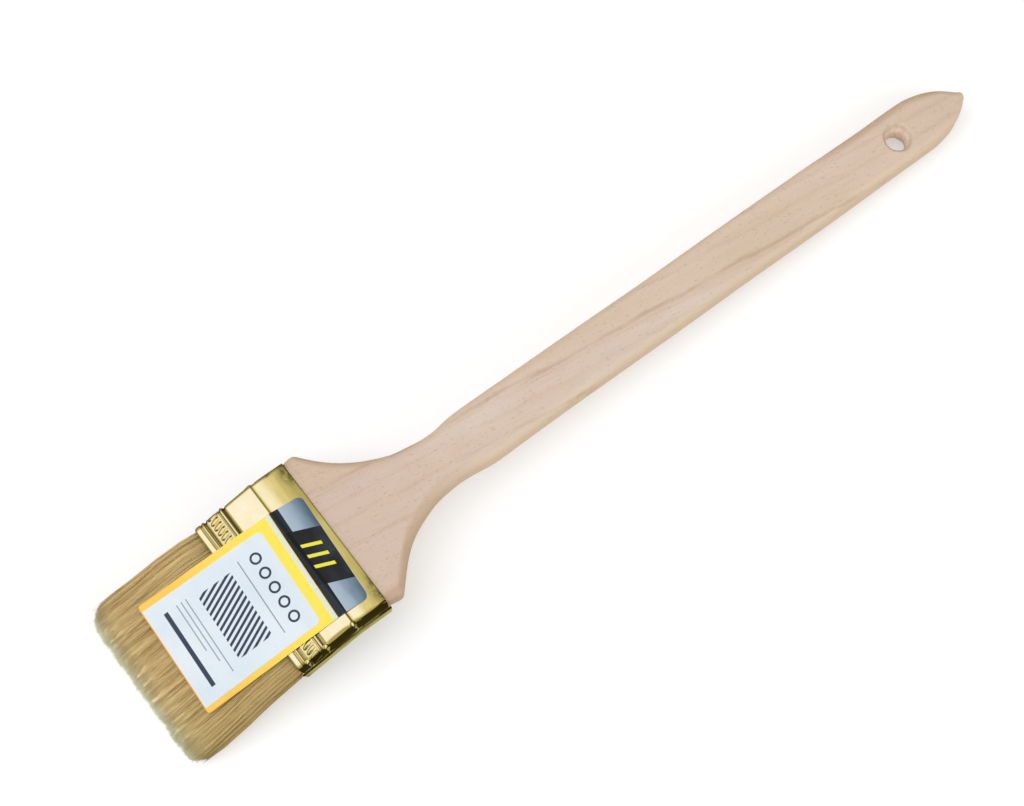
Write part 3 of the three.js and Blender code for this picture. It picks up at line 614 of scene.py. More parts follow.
def build_handle(material):
    ROUND, START, END = 3.0, 14.35, 304.45
    xs = [2.6, 2.9] + list(np.linspace(3.4, 14.3, 8))
    tongue = len(xs)                                              # rows of the tongue inside the ferrule
    xs += [START] + list(np.arange(14.6, 31.0, 0.3)) + list(np.arange(31.0, 80.0, 0.7))
    xs += list(np.arange(80.0, 262.0, 1.3)) + list(np.arange(262.0, 299.0, 0.5)) + list(np.arange(299.0, 304.0, 0.22))
    xs += [304.05, 304.2, 304.32, 304.4, END]
    rows, edges = [], []
    for i, x in enumerate(xs):
        cut = 0.0
        if i >= tongue:
            high, low = float(edge_at(HIGH, x)), float(edge_at(LOW, x))
            slopes = []
            for table in (HIGH, LOW):
                a, b = max(x - 0.06, START), min(x + 0.06, END)
                slopes.append(float(edge_at(table, b) - edge_at(table, a)) / (b - a))
            if x < 14.4:
                high, low, slopes = high - 0.25, low - 0.25, [0.0, 0.0]
            r = ROUND
            if END - x < 0.5:                                     # the very end is eased by hand
                cut = 0.5 - math.sqrt(max(0.25 - (0.5 - (END - x)) ** 2, 0.0))
        else:
            high = low = 30.15 - (0.3 if x < 2.7 else 0.0)
            slopes, r = [0.0, 0.0], 1.2
        middle, w = (high - low) / 2, (high + low) / 2 - cut
        turns = [math.cos(math.atan(s)) for s in slopes]
        reach = min(r, w * min(turns))
        a = np.linspace(0, math.pi / 2, 9)
        d = reach * (1 - np.cos(a))
        z = BOARD - r + np.sqrt(np.maximum(r * r - (r - d) ** 2, 0)) - cut
        if x < 2.7:
            z = z - 0.3
        quarters = []
        for turn in turns:
            y_round = w - d / turn
            flat = np.linspace(float(y_round[-1]), 0.0, 11)[1:]
            side = np.linspace(0, float(z[0]), 4)[:-1]            # vertical part of the edge
            y = np.concatenate([np.full(len(side), w), y_round, flat])
            zz = np.concatenate([side, z, np.full(len(flat), z[-1])])
            e = np.concatenate([np.ones(len(side)), 0.92 * (1 - smoothstep(0.0, 3.4, d)), 0.32 * np.clip(1 - (w - flat) / 5.0, 0, 1)])
            near = np.clip(1 - (w - np.abs(y)) / 4.6, 0, 1)
            quarters.append((y, zz, e, near))
        (yh, zh, eh, nh), (yl, zl, el, nl) = quarters
        yy = np.concatenate([yh, -yl[::-1][1:], -yl[1:], yh[::-1][1:-1]])
        zz = np.concatenate([zh, zl[::-1][1:], -zl[1:], -zh[::-1][1:-1]])
        ee = np.concatenate([eh, el[::-1][1:], el[1:], eh[::-1][1:-1]])
        rows.append(np.stack([np.full(len(yy), x), yy + middle, zz], -1))
        edges.append(np.stack([ee, np.concatenate([nh, nl[::-1][1:], nl[1:], nh[::-1][1:-1]])], -1))
    n = len(rows[0])
    points, (edge, rim) = np.concatenate(rows), np.concatenate(edges).T
    faces = grid_faces(len(rows), n, wrap=True).tolist()
    faces.append(list(range(n)))
    end = len(points) - n
    faces.append(list(range(end, end + n))[::-1])
    # slightly uneven hand of the sanding belt
    x, y = points[:, 0], points[:, 1]
    wave = 0.05 * np.sin(x * 0.11 + 1.3) + 0.04 * np.sin(x * 0.31 + y * 0.2)
    points[:, 2] += np.sign(points[:, 2]) * np.where(np.abs(points[:, 2]) > 4, wave - 0.09, 0) * (x > 16)
    points[:, 0] -= 0.42 * smoothstep(289.0, END, x)
    o = make_object("handle_wood", points, faces, material, attributes={"edge": edge, "rim": rim, "bore": np.zeros(len(points))})
    outward(o)

    # hanging hole with a broken, softened rim, and the holes of the four nails
    rng = np.random.default_rng(11)
    ring = 96
    # both rims are widely rounded: depth below the face, how much wider than the bore
    back_rim = [(-1.2, 4.6), (-0.25, 3.0), (0.0, 2.6), (0.5, 2.0), (1.2, 1.45), (2.0, 0.95), (2.8, 0.55), (3.5, 0.28), (4.2, 0.08), (5.0, 0.0)]
    front_rim = [(5.5, 0.0), (4.0, 0.03), (3.0, 0.16), (2.3, 0.36), (1.7, 0.62), (1.15, 0.95), (0.7, 1.28), (0.35, 1.62), (0.12, 1.92),
                 (0.0, 2.15), (-0.25, 2.9), (-1.2, 5.4)]
    profile = [(-BOARD + d, HOLE_R + wide) for d, wide in back_rim] + [(BOARD - d, HOLE_R + wide) for d, wide in front_rim]
    angle = np.arange(ring) * 2 * math.pi / ring
    phases = rng.uniform(0, 2 * math.pi, 6)
    rough = sum(np.sin(angle * k + phases[i]) / (1 + 0.35 * i) for i, k in enumerate((3, 5, 8, 13, 21, 29))) * 0.045
    torn = np.exp(-((np.angle(np.exp(1j * (angle - math.radians(46)))) / 0.55) ** 2))     # torn fibres towards the end
    jag = 0.5 + 0.3 * np.sin(angle * 19 + 1) + 0.2 * np.sin(angle * 31 + 2)
    pts, fs = [], []
    for z, r in profile:
        front = smoothstep(1.0, BOARD, z)
        rr = r + rough * (0.35 + 0.9 * abs(z) / BOARD) + torn * front * 0.9 * jag
        pts.append(np.stack([HOLE_X + rr * np.cos(angle), HOLE_Y + rr * np.sin(angle), np.full(ring, z)], -1))
    count = len(profile)
    fs += grid_faces(count, ring, wrap=True).tolist()
    fs.append(list(range(ring))[::-1])
    fs.append(list(range((count - 1) * ring, count * ring)))
    base = count * ring
    for _, nx, ny, side, _ in NAILS:
        a = np.arange(14) * 2 * math.pi / 14
        z0, z1 = (0.9, 8.0) if side > 0 else (-8.0, -0.9)
        for z in (z0, z1):
            pts.append(np.stack([nx + 0.8 * np.cos(a), ny + 0.8 * np.sin(a), np.full(14, z)], -1))
        fs += grid_faces(2, 14, wrap=True, start=base).tolist()
        fs.append(list(range(base, base + 14))[::-1])
        fs.append(list(range(base + 14, base + 28)))
        base += 28
    cutter = make_object("hole_cutter", np.concatenate(pts), fs, material, smooth=False)
    outward(cutter)
    cut = o.modifiers.new("holes", "BOOLEAN")
    cut.operation, cut.solver, cut.object = "DIFFERENCE", "EXACT", cutter
    bpy.context.view_layer.update()
    dg = bpy.context.evaluated_depsgraph_get()
    me = bpy.data.meshes.new_from_object(o.evaluated_get(dg), depsgraph=dg)
    o.modifiers.clear()
    o.data = me
    bpy.data.objects.remove(cutter)
    # places on the wall of the hole, and how close to its rim
    n = len(me.vertices)
    world = np.empty(n * 3, np.float32)
    me.vertices.foreach_get("co", world)
    world = world.reshape(-1, 3).astype(float) * 1000.0 - REST_AT
    c, s = math.cos(REST_TILT), math.sin(REST_TILT)
    local = np.stack([world[:, 0] * c - world[:, 2] * s, world[:, 1], world[:, 0] * s + world[:, 2] * c], -1)
    me.attributes["spot"].data.foreach_set("vector", local.astype(np.float32).ravel())
    dist = np.hypot(local[:, 0] - HOLE_X, local[:, 1] - HOLE_Y)
    inside = (dist < HOLE_R + 3.2) & (np.abs(local[:, 2]) < BOARD + 0.5)
    bore = np.where(inside, smoothstep(HOLE_R + 2.3, HOLE_R + 0.5, dist), 0.0)
    me.attributes["bore"].data.foreach_set("value", bore.astype(np.float32))
    me.polygons.foreach_set("use_smooth", np.ones(len(me.polygons), bool))
    me.set_sharp_from_angle(angle=math.radians(38))
    finish_piece(o, "beech", "handle")
    return o


# ---------------------------------------------------------------- ferrule
RIB = np.array([                                  # distance below the crease, stand-out of the sheet
    [1.8, 0.0], [10.9, 0.0], [11.25, -0.08], [11.9, -0.36], [12.35, -0.2], [12.62, 0.22], [13.15, 0.46], [13.65, 0.28],
    [13.95, 0.02], [14.15, 0.02], [14.45, 0.2], [14.8, 0.24], [19.2, 0.24], [19.5, 0.12], [19.85, -0.16], [20.15, -0.30],
    [20.5, -0.12], [20.75, 0.24], [21.2, 0.45], [21.6, 0.28], [21.9, 0.04], [22.1, 0.05], [22.35, 0.3], [22.8, 0.43],
    [23.8, 0.43], [24.35, 0.3], [24.6, 0.05],
])
# the folded bead at the crease: distance above it, stand-out. The sheet above falls away towards it
BEAD = np.array([[-2.9, 0.0], [-2.2, 0.04], [-1.3, 0.13], [-0.5, 0.23], [0.0, 0.25], [0.2, 0.20], [0.42, -0.02], [0.62, -0.17],
                 [0.9, -0.24], [1.4, -0.235], [2.2, -0.18], [3.3, -0.095], [4.0, -0.05], [5.0, -0.012], [6.0, 0.0]])
# the same on the front face, where the upper part dips into the crease
CREASE = np.array([[-2.9, 0.0], [-2.2, -0.008], [-1.3, -0.03], [-0.6, -0.07], [-0.15, -0.115], [0.1, -0.19], [0.35, -0.28], [0.55, -0.33],
                   [0.8, -0.35], [1.3, -0.33], [2.2, -0.25], [3.3, -0.145], [4.0, -0.085], [5.0, -0.03], [6.0, -0.006], [7.0, 0.0]])


def ring_chain(l, arc):
    """Height of the pressed chain of slanted oval rings on the raised band."""
    dl = l - RING_AT
    turn = (arc - RING_PHASE + RING_LEAN * dl) / RING_PITCH
    u = (turn - np.round(turn)) * RING_PITCH / RING_HALF[0]
    d = (np.abs(u) ** 2.4 + np.abs(dl / RING_HALF[1]) ** 2.4) ** (1 / 2.4)
    return np.sqrt(np.clip(1 - (d / 1.1) ** 2, 0, 1))


def build_ferrule(material, resin):
    W, WALL, TOP = 63.2 / 2, 0.45, 14.0
    # half axes of the rounded corners, across and through: towards +y, and towards the seam at the front and the back
    HIGH_R, LOW_F, LOW_B = (1.6, 1.7), (3.4, 5.4), (3.4, 3.2)
    fine, side_n, corner_n = ((262, 28, 12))

    def section(w, t, less):
        """Points round the section: y, z and the outward direction."""
        pts = []

        def line(y0, z0, y1, z1, n, ny, nz):
            for k in range(n):
                q = k / n
                pts.append((y0 + (y1 - y0) * q, z0 + (z1 - z0) * q, ny, nz))

        def corner(cy, cz, r, a0, n):
            for k in range(n):
                a = math.radians(a0 + 90 * k / n)
                away = math.hypot(math.cos(a) / r[0], math.sin(a) / r[1])
                pts.append((cy + r[0] * math.cos(a), cz + r[1] * math.sin(a), math.cos(a) / r[0] / away, math.sin(a) / r[1] / away))
        high, low_f, low_b = ([r - less for r in pair] for pair in (HIGH_R, LOW_F, LOW_B))
        line(w, -t + high[1], w, t - high[1], side_n, 1, 0)
        corner(w - high[0], t - high[1], high, 0, corner_n)
        line(w - high[0], t, -w + 3.4 - less, t, fine, 0, 1)
        # seam side of the front: a short round, then a slanted flat that steepens towards the lapped strip
        tilt = np.concatenate([np.linspace(0, 30, 14)[1:], np.linspace(30, 68, 14)[1:], np.linspace(68, 81, 14)[1:]])
        yy, zz, before, path = -w + 3.4 - less, t, 0.0, [(-w + 3.4 - less, t, 0.0, 1.0)]
        for k, deg in enumerate(tilt):
            if deg <= 68.01:
                step_len = (2.4 if deg <= 30.01 else 1.0) * math.radians(deg - before)
            else:
                step_len = 4.5 / 13
            middle = math.radians((deg + before) / 2)
            yy, zz, before = yy - step_len * math.cos(middle), zz - step_len * math.sin(middle), deg
            path.append((yy, zz, -math.sin(math.radians(deg)), math.cos(math.radians(deg))))
        # fitted so that it ends on the narrow side
        grow = (3.4 - less) / (path[0][0] - path[-1][0])
        pts.extend((path[0][0] + (p[0] - path[0][0]) * grow, p[1], p[2], p[3]) for p in path)
        line(-w, path[-1][1] - 0.3, -w, -t + low_b[1], side_n // 2, -1, 0)
        corner(-w + low_b[0], -t + low_b[1], low_b, 180, corner_n)
        line(-w + low_b[0], -t, w - high[0], -t, fine, 0, -1)
        corner(w - high[0], -t + high[1], high, 270, corner_n)
        return np.array(pts)

    outer = section(W, F, 0.0)
    inner = section(W - WALL, F - WALL, WALL)
    y, z, ny, nz = outer.T
    n = len(y)
    # way round the section, 0 in the middle of the front and growing towards +y; it starts and ends on the seam side
    step = np.hypot(np.diff(y, append=y[:1]), np.diff(z, append=z[:1]))
    first = int(np.argmin(np.where(ny < -0.99, np.abs(z), 99)))
    order = (first + np.arange(n)) % n
    run = np.concatenate([[0], np.cumsum(step[order])[:-1]])
    front = int(np.argmin(np.where(nz > 0.99, np.abs(y), 99)))
    arc = np.empty(n)
    arc[order] = run
    arc = arc[front] + y[front] - arc
    # the seam is on the narrow side towards -y: the pressed ribs run out there
    seam = smoothstep(0.965, 0.992, -ny)

    def knob(along, wide, high, out, at_y=1.65):
        """Round low knobs that the rolling leaves on the seam side's corners, front and back: lift along z, and share."""
        r = np.hypot((y + W - at_y) / wide, along / high)
        share = 1 - smoothstep(0.95, 1.28, r)
        lift = np.maximum(F + 0.26 - 0.24 * r ** 2 - (np.abs(z) + np.abs(nz) * out), 0) * share * (np.abs(z) > 3.6)
        return np.sign(z) * lift, share * (np.abs(z) > 3.6)

    rows, painted_recess_shade, dark_patch, ringed, below, painted_top_shade = [], [], [], [], [], []

    def add(points, at, h=0.0, r=0.0, g=0.0, top=0.0):
        rows.append(points)
        below.append(np.full(n, float(at)))
        painted_recess_shade.append(np.zeros(n) + h)
        dark_patch.append(np.zeros(n) + r)
        ringed.append(np.zeros(n) + g)
        painted_top_shade.append(np.zeros(n) + top)

    def upper(x, out, sec):
        yy, zz, a, b = sec.T
        return np.stack([np.full(n, float(x)), yy + a * out, zz + b * out], -1)

    def mitre(offset, out, sec, lift=0.0):
        """Row near the crease. offset is measured from the plane between both parts."""
        yy, zz, a, b = sec.T
        zz2, yy2 = zz + b * out + lift, yy + a * out
        x = BEND_X - zz2 * math.tan(BEND / 2)
        turn = -BEND * (0.5 - 0.5 * np.clip(offset / 0.6, -1, 1))
        return np.stack([x + offset * math.cos(turn), yy2, zz2 - offset * math.sin(turn)], -1)

    def lower(l, out, sec, lift=0.0):
        yy, zz, a, b = sec.T
        return from_head(l, yy + a * out, zz + b * out + lift)

    def crease_at(value):
        """Stand-out of the sheet near the crease: a dip on the front face, a slight bead elsewhere."""
        front_share = smoothstep(0.35, 0.75, nz)
        bead, dip = float(pchip(BEAD[:, 0], BEAD[:, 1], value)), float(pchip(CREASE[:, 0], CREASE[:, 1], value))
        return dip * front_share + bead * (1 - front_share)

    def patch(x, cx, cy, rx, ry):
        return np.exp(-((x - cx) / rx) ** 2 - ((y - cy) / ry) ** 2) * (nz > 0.2)

    for x, out in [(TOP, -0.30), (TOP - 0.1, -0.20), (TOP - 0.3, -0.17), (TOP - 0.8, -0.15), (12.2, -0.10), (11.2, -0.06), (10.2, -0.03), (9.6, -0.02),
                   (9.2, -0.01), (8.8, 0.0), (8.4, 0.0), (8.0, 0.0), (7.5, 0.0), (7.0, 0.0), (6.6, None), (6.2, None), (5.8, None), (5.2, None),
                   (4.4, None), (3.6, None), (2.8, None)]:
        flat = crease_at(x) if out is None else out
        out = flat * np.where(nz > 0.5, 1.0, 0.35) * (1 - 0.6 * seam)
        # the sheet is dimpled round the heads of the nails
        for _, nx, nail_y, nail_side, _ in NAILS:
            away = np.hypot(x - nx, y - nail_y)
            out = out - np.where(nz * nail_side > 0.9, 0.20 * (1 - smoothstep(1.5, 2.5, away)), 0)
        # darker places near the top edge and corners of the front, and along the top of the back
        near = 1.9 * patch(x, 13.7, 28.0, 1.5, 4.6) + 0.5 * patch(x, 12.0, 27.0, 2.2, 4.0) + 0.9 * patch(x, 6.6, 30.6, 1.9, 0.7)
        near = near + 1.6 * patch(x, 13.8, -24.5, 1.4, 5.0) + 0.35 * patch(x, 12.4, -25.5, 2.0, 3.0)
        # painted shade: the front dims towards its top edge and its sides, most on the +y side
        level = smoothstep(5.0, 10.0, x) * 0.16 * smoothstep(4.0, 14.0, y) + smoothstep(8.0, 13.5, x) * 0.22 * smoothstep(4.0, 14.0, np.abs(y))
        out = out + 0.13 * np.exp(-((arc + 29.3) / 0.3) ** 2) * smoothstep(9.0, 12.0, x)
        out = out + 0.12 * np.exp(-((-ny - 0.55) / 0.3) ** 2) * (nz > 0.05) * smoothstep(2.0, 5.0, x)
        near = near + np.where(nz < -0.2, 0.7 * smoothstep(8.0, 13.8, x) * (0.3 + smoothstep(8.0, 30.0, np.abs(y - 2))), 0)
        add(upper(x, out, outer), -x, 0.0, np.clip(near, 0, 1), 0.0, np.clip(level, 0, 1) * (nz > 0.2))
    for offset in (2.0, 1.4, 1.0, 0.82, 0.65, 0.55, 0.45, 0.35, 0.25, 0.12, 0.0, -0.25, -0.5, -0.9, -1.3, -1.7):
        bead = crease_at(offset) * (1 - 0.55 * seam)
        lift, share = knob(offset + 0.1, 0.9, 0.85, bead, 1.8)
        # painted shade in the crease, darker towards the seam side
        add(mitre(offset, bead, outer, lift), -offset,
            (0.12 + 0.45 * smoothstep(2, 20, -y)) * math.exp(-((offset - 0.28) / 0.24) ** 2) * (1 - 0.6 * seam) * (1 - share))
    ls = [2.3, 2.9, 4.0, 6.0, 8.0, 9.6, 10.6]
    ls += list(np.arange(11.0, 14.6, 0.16)) + list(np.arange(14.6, 19.9, 0.19)) + list(np.arange(19.9, 24.5, 0.16))
    ls += [24.52, 24.6]
    for l in ls:
        base = float(pchip(RIB[:, 0], RIB[:, 1], l))
        if l < 3.0:
            base = crease_at(-l)
        out = base * (1 - seam)
        # the corner is rounder below the crease
        out = out - 0.13 * np.exp(-((-ny - 0.5) / 0.3) ** 2) * (nz > 0.05) * smoothstep(1.5, 4.0, l) * smoothstep(11.2, 9.5, l)
        band = float(smoothstep(14.7, 14.95, l) * smoothstep(19.25, 18.95, l))
        ring = ring_chain(l, arc) * band * (1 - seam)
        out = out + (0.24 * ring - 0.12 * band) * (1 - seam)
        # painted shade in the grooves, weaker towards the seam side and round its corner
        dark = max(float(smoothstep(a - 0.16, a + 0.08, l) * (1 - smoothstep(b - 0.08, b + 0.16, l))) * deep
                   for a, b, deep in ((11.66, 12.38, 0.9), (14.02, 14.22, 0.45), (19.76, 20.34, 0.9), (21.88, 22.06, 0.45)))
        dark = dark * (1 - 0.45 * smoothstep(15, 28, -y)) * (1 - 0.5 * smoothstep(0.55, 0.8, -ny))
        lift, share = knob(l - (12.1 if l < 16 else 20.25), 0.95, 0.78, out)
        add(lower(l, out, outer, lift), l, np.clip(dark, 0, 1) * (1 - seam) * (1 - share), 0.0, band * (1 - seam))
    # painted shade all over the inside of the sheet
    for l in [24.6, 24.0, 22.0, 18.0, 14.0, 10.0, 5.0, 1.8]:
        add(lower(l, 0.0, inner), l, 0.6)
    add(mitre(0.0, 0.0, inner), 0.0, 0.6)
    for x in (1.5, 6.0, 11.0, TOP - 0.02):
        add(upper(x, 0.0, inner), -x, 0.6)
    faces = grid_faces(len(rows), n, wrap=True)
    last = (len(rows) - 1) * n
    k = np.arange(n)
    faces = np.concatenate([faces, np.stack([last + k, last + (k + 1) % n, (k + 1) % n, k], -1)]).tolist()
    count = len(rows) * n

    # lapped ends of the sheet: a plain flat strip over the ribs on the narrow side, a little longer at both ends
    zs, out_y, in_y, soft = (-3.6, 1.4), -W - 0.55, -W + 0.4, 0.14
    rim = [(in_y, 2.05), (-W + 0.08, 2.0), (-W - 0.02, 1.55), (-W - 0.12, 1.1), (-W - 0.22, 0.6), (-W - 0.31, 0.05)]
    rim += [(-W - 0.41, -0.65), (-W - 0.49, -1.4), (-W - 0.54, -2.2), (out_y, zs[0] + 0.5)]
    flat_rim = [(in_y, 2.05), (-W + 0.06, 2.0), (-W - 0.27, 1.62), (-W - 0.44, 1.3), (-W - 0.51, 0.95), (-W - 0.535, 0.3)]
    flat_rim += [(-W - 0.54, -0.65), (-W - 0.55, -1.4), (out_y, -2.2), (out_y, zs[0] + 0.5)]
    rim += [(out_y + soft - soft * math.cos(a), zs[0] + soft - soft * math.sin(a)) for a in np.linspace(0, math.pi / 2, 4)]
    rim += [(in_y, zs[0])]
    rim = np.array(rim)
    flat_rim = np.concatenate([np.array(flat_rim), rim[len(flat_rim):]])
    m = len(rim)
    strip, at = [], []

    def eased(amount, far=0.0, low=0.0):
        q = smoothstep(8.5, 13.5, far)                     # more rounded near the crease, flatter at both ends
        sec = rim * (1 - q) + flat_rim * q
        rise = 0.75 * smoothstep(9.0, 23.0, low)           # and a little wider towards the bristles
        sec[:, 1] += rise * smoothstep(-2.2, 0.5, sec[:, 1]) * (sec[:, 0] < in_y + 0.01) * (sec[:, 1] > -2.3)
        sec[:, 0] = np.maximum(sec[:, 0], out_y + amount)
        sec[:, 1] = np.clip(sec[:, 1], zs[0] + amount, 2.05 + rise - amount)
        return sec

    for x, amount in ((14.8, 0.14), (14.76, 0.05), (14.66, 0.0), (12.0, 0.0), (9.0, 0.0), (6.0, 0.0), (3.0, 0.0)):
        sec = eased(amount, x)
        strip.append(np.stack([np.full(m, x), sec[:, 0], sec[:, 1]], -1))
        at.append(-x)
    for offset in (0.8, 0.3, -0.3, -0.8):
        sec = eased(0.0)
        turn = -BEND * (0.5 - 0.5 * max(-1.0, min(1.0, offset / 0.6)))
        x = BEND_X - sec[:, 1] * math.tan(BEND / 2)
        strip.append(np.stack([x + offset * math.cos(turn), sec[:, 0], sec[:, 1] - offset * math.sin(turn)], -1))
        at.append(-offset)
    for l, amount in ((3.0, 0.0), (6.0, 0.0), (10.0, 0.0), (14.0, 0.0), (18.0, 0.0), (22.0, 0.0), (25.26, 0.0), (25.36, 0.05), (25.4, 0.14)):
        sec = eased(amount, l, l)
        strip.append(from_head(l, sec[:, 0], sec[:, 1]))
        at.append(l)
    faces += grid_faces(len(strip), m, wrap=True, start=count).tolist()
    faces.append([count + i for i in range(m)])
    end = count + (len(strip) - 1) * m
    faces.append([end + i for i in range(m)][::-1])
    rows += strip
    more = len(strip) * m
    extra = np.zeros(more)
    # the lapped strip is a little darker all over
    o = make_object("ferrule_band", np.concatenate(rows), faces, material,
                    attributes={"painted_recess_shade": np.concatenate(painted_recess_shade + [extra]), "dark_patch": np.concatenate(dark_patch + [extra + 0.25]),
                                "ringed": np.concatenate(ringed + [extra]), "painted_top_shade": np.concatenate(painted_top_shade + [extra]), "below": np.concatenate(below + [np.repeat(at, m)]),
                                "arc": np.concatenate([np.tile(arc, len(below)), extra])})
    outward(o)
    o.data.set_sharp_from_angle(angle=math.radians(50))
    finish_piece(o, "brass_tinplate", "ferrule")

    # the resin setting fills the sheet from wall to wall, with a slot round the spacer plug
    fill = section(W - WALL - 0.05, F - WALL - 0.05, WALL + 0.05)
    m = len(fill)
    depths = [2.0, 2.12, 3.0, 4.5, 6.0, 7.5, 9.0, 9.43, 9.55]
    block = []
    for l in depths:
        ease = 0.12 if l in (2.0, 9.55) else 0.0
        wave = 0.05 * np.sin(fill[:, 0] * 0.4 + 1.0) * (l > 9.2)
        block.append(from_head(l + wave, fill[:, 0] - fill[:, 2] * ease, fill[:, 1] - fill[:, 3] * ease))
    fs = grid_faces(len(depths), m, wrap=True).tolist()
    fs.append(list(range(m)))
    fs.append([(len(depths) - 1) * m + k for k in range(m)][::-1])
    o = make_object("resin_setting", np.concatenate(block), fs, resin)
    outward(o)
    plug_y, plug_z = 28.05, 1.56
    corners = [from_head(l, y_at, z_at) for l in (3.75, 11.0) for z_at in (-plug_z, plug_z) for y_at in (-plug_y, plug_y)]
    slot = make_object("plug_slot", np.array(corners), [[0, 1, 3, 2], [4, 6, 7, 5], [0, 4, 5, 1], [2, 3, 7, 6], [0, 2, 6, 4], [1, 5, 7, 3]], resin, smooth=False)
    outward(slot)
    cut = o.modifiers.new("slot", "BOOLEAN")
    cut.operation, cut.solver, cut.object = "DIFFERENCE", "EXACT", slot
    bpy.context.view_layer.update()
    dg = bpy.context.evaluated_depsgraph_get()
    me = bpy.data.meshes.new_from_object(o.evaluated_get(dg), depsgraph=dg)
    o.modifiers.clear()
    o.data = me
    bpy.data.objects.remove(slot)
    o.data.set_sharp_from_angle(angle=math.radians(50))
    finish_piece(o, "resin", "epoxy_setting")


# ---------------------------------------------------------------- nails
def build_nails(material):
    for name, x, y, side, dome in NAILS:
        profile = [(0.0, -5.6), (0.25, -5.2), (0.6, -4.5), (0.6, -0.75), (0.66, -0.5), (1.3, -0.42), (1.43, -0.34), (1.46, -0.22),
                   (1.4, -0.08), (1.2, dome * 0.45 - 0.02), (0.85, dome * 0.78), (0.45, dome * 0.95), (0.0, dome)]
        ring = 32
        a = np.arange(ring) * 2 * math.pi / ring
        pts, fs = [[0, 0, profile[0][1]]], []
        for r, z in profile[1:-1]:
            for k in range(ring):
                pts.append([r * math.cos(a[k]), r * math.sin(a[k]), z])
        pts.append([0, 0, profile[-1][1]])
        last = len(pts) - 1
        for k in range(ring):
            fs.append([0, 1 + (k + 1) % ring, 1 + k])
            fs.append([last, last - ring + k, last - ring + (k + 1) % ring])
        fs += grid_faces(len(profile) - 2, ring, wrap=True, start=1).tolist()
        p = np.array(pts, float)
        p[:, 2] = side * (p[:, 2] + F)
        if side < 0:
            p[:, 1] *= -1
        p[:, 0] += x
        p[:, 1] += y
        o = make_object(name + "_domed", p, fs, material)
        outward(o)
        o.data.set_sharp_from_angle(angle=math.radians(45))
        finish_piece(o, "nail_steel", name)


# ---------------------------------------------------------------- bristles
SIDES = np.array([  # distance below the crease, low y, high y of the tuft
    [9.6, -30.75, 30.75], [24.6, -30.7, 30.85], [26, -30.7, 31.5], [28, -30.75, 32.15], [30, -30.85, 32.4], [34, -31.0, 32.75],
    [38, -31.1, 33.0], [42, -31.15, 33.2], [50, -31.75, 33.3], [54, -32.0, 33.4], [58, -32.3, 33.5], [62, -32.3, 33.7],
    [66, -32.25, 34.1], [70, -32.15, 34.05], [76.5, -32.0, 33.9]])
DEPTH = np.array([[9.6, 5.98], [24.4, 5.98], [30, 6.25], [46, 6.3], [57, 5.8], [66, 4.9], [72, 3.9], [75, 2.9], [76.5, 1.7]])
ROOT = 21.5


def wavy(rng, n, low, high):
    """Sum of n sines with random direction and phase, as a function of a position across the tuft."""
    k = rng.uniform(low, high, n) * rng.choice([-1, 1], n)
    p = rng.uniform(0, 2 * math.pi, n)
    w = rng.uniform(0.5, 1.0, n)
    w /= np.sqrt((w ** 2).sum() / 2)
    return lambda y: sum(w[i] * np.sin(k[i] * y + p[i]) for i in range(n))


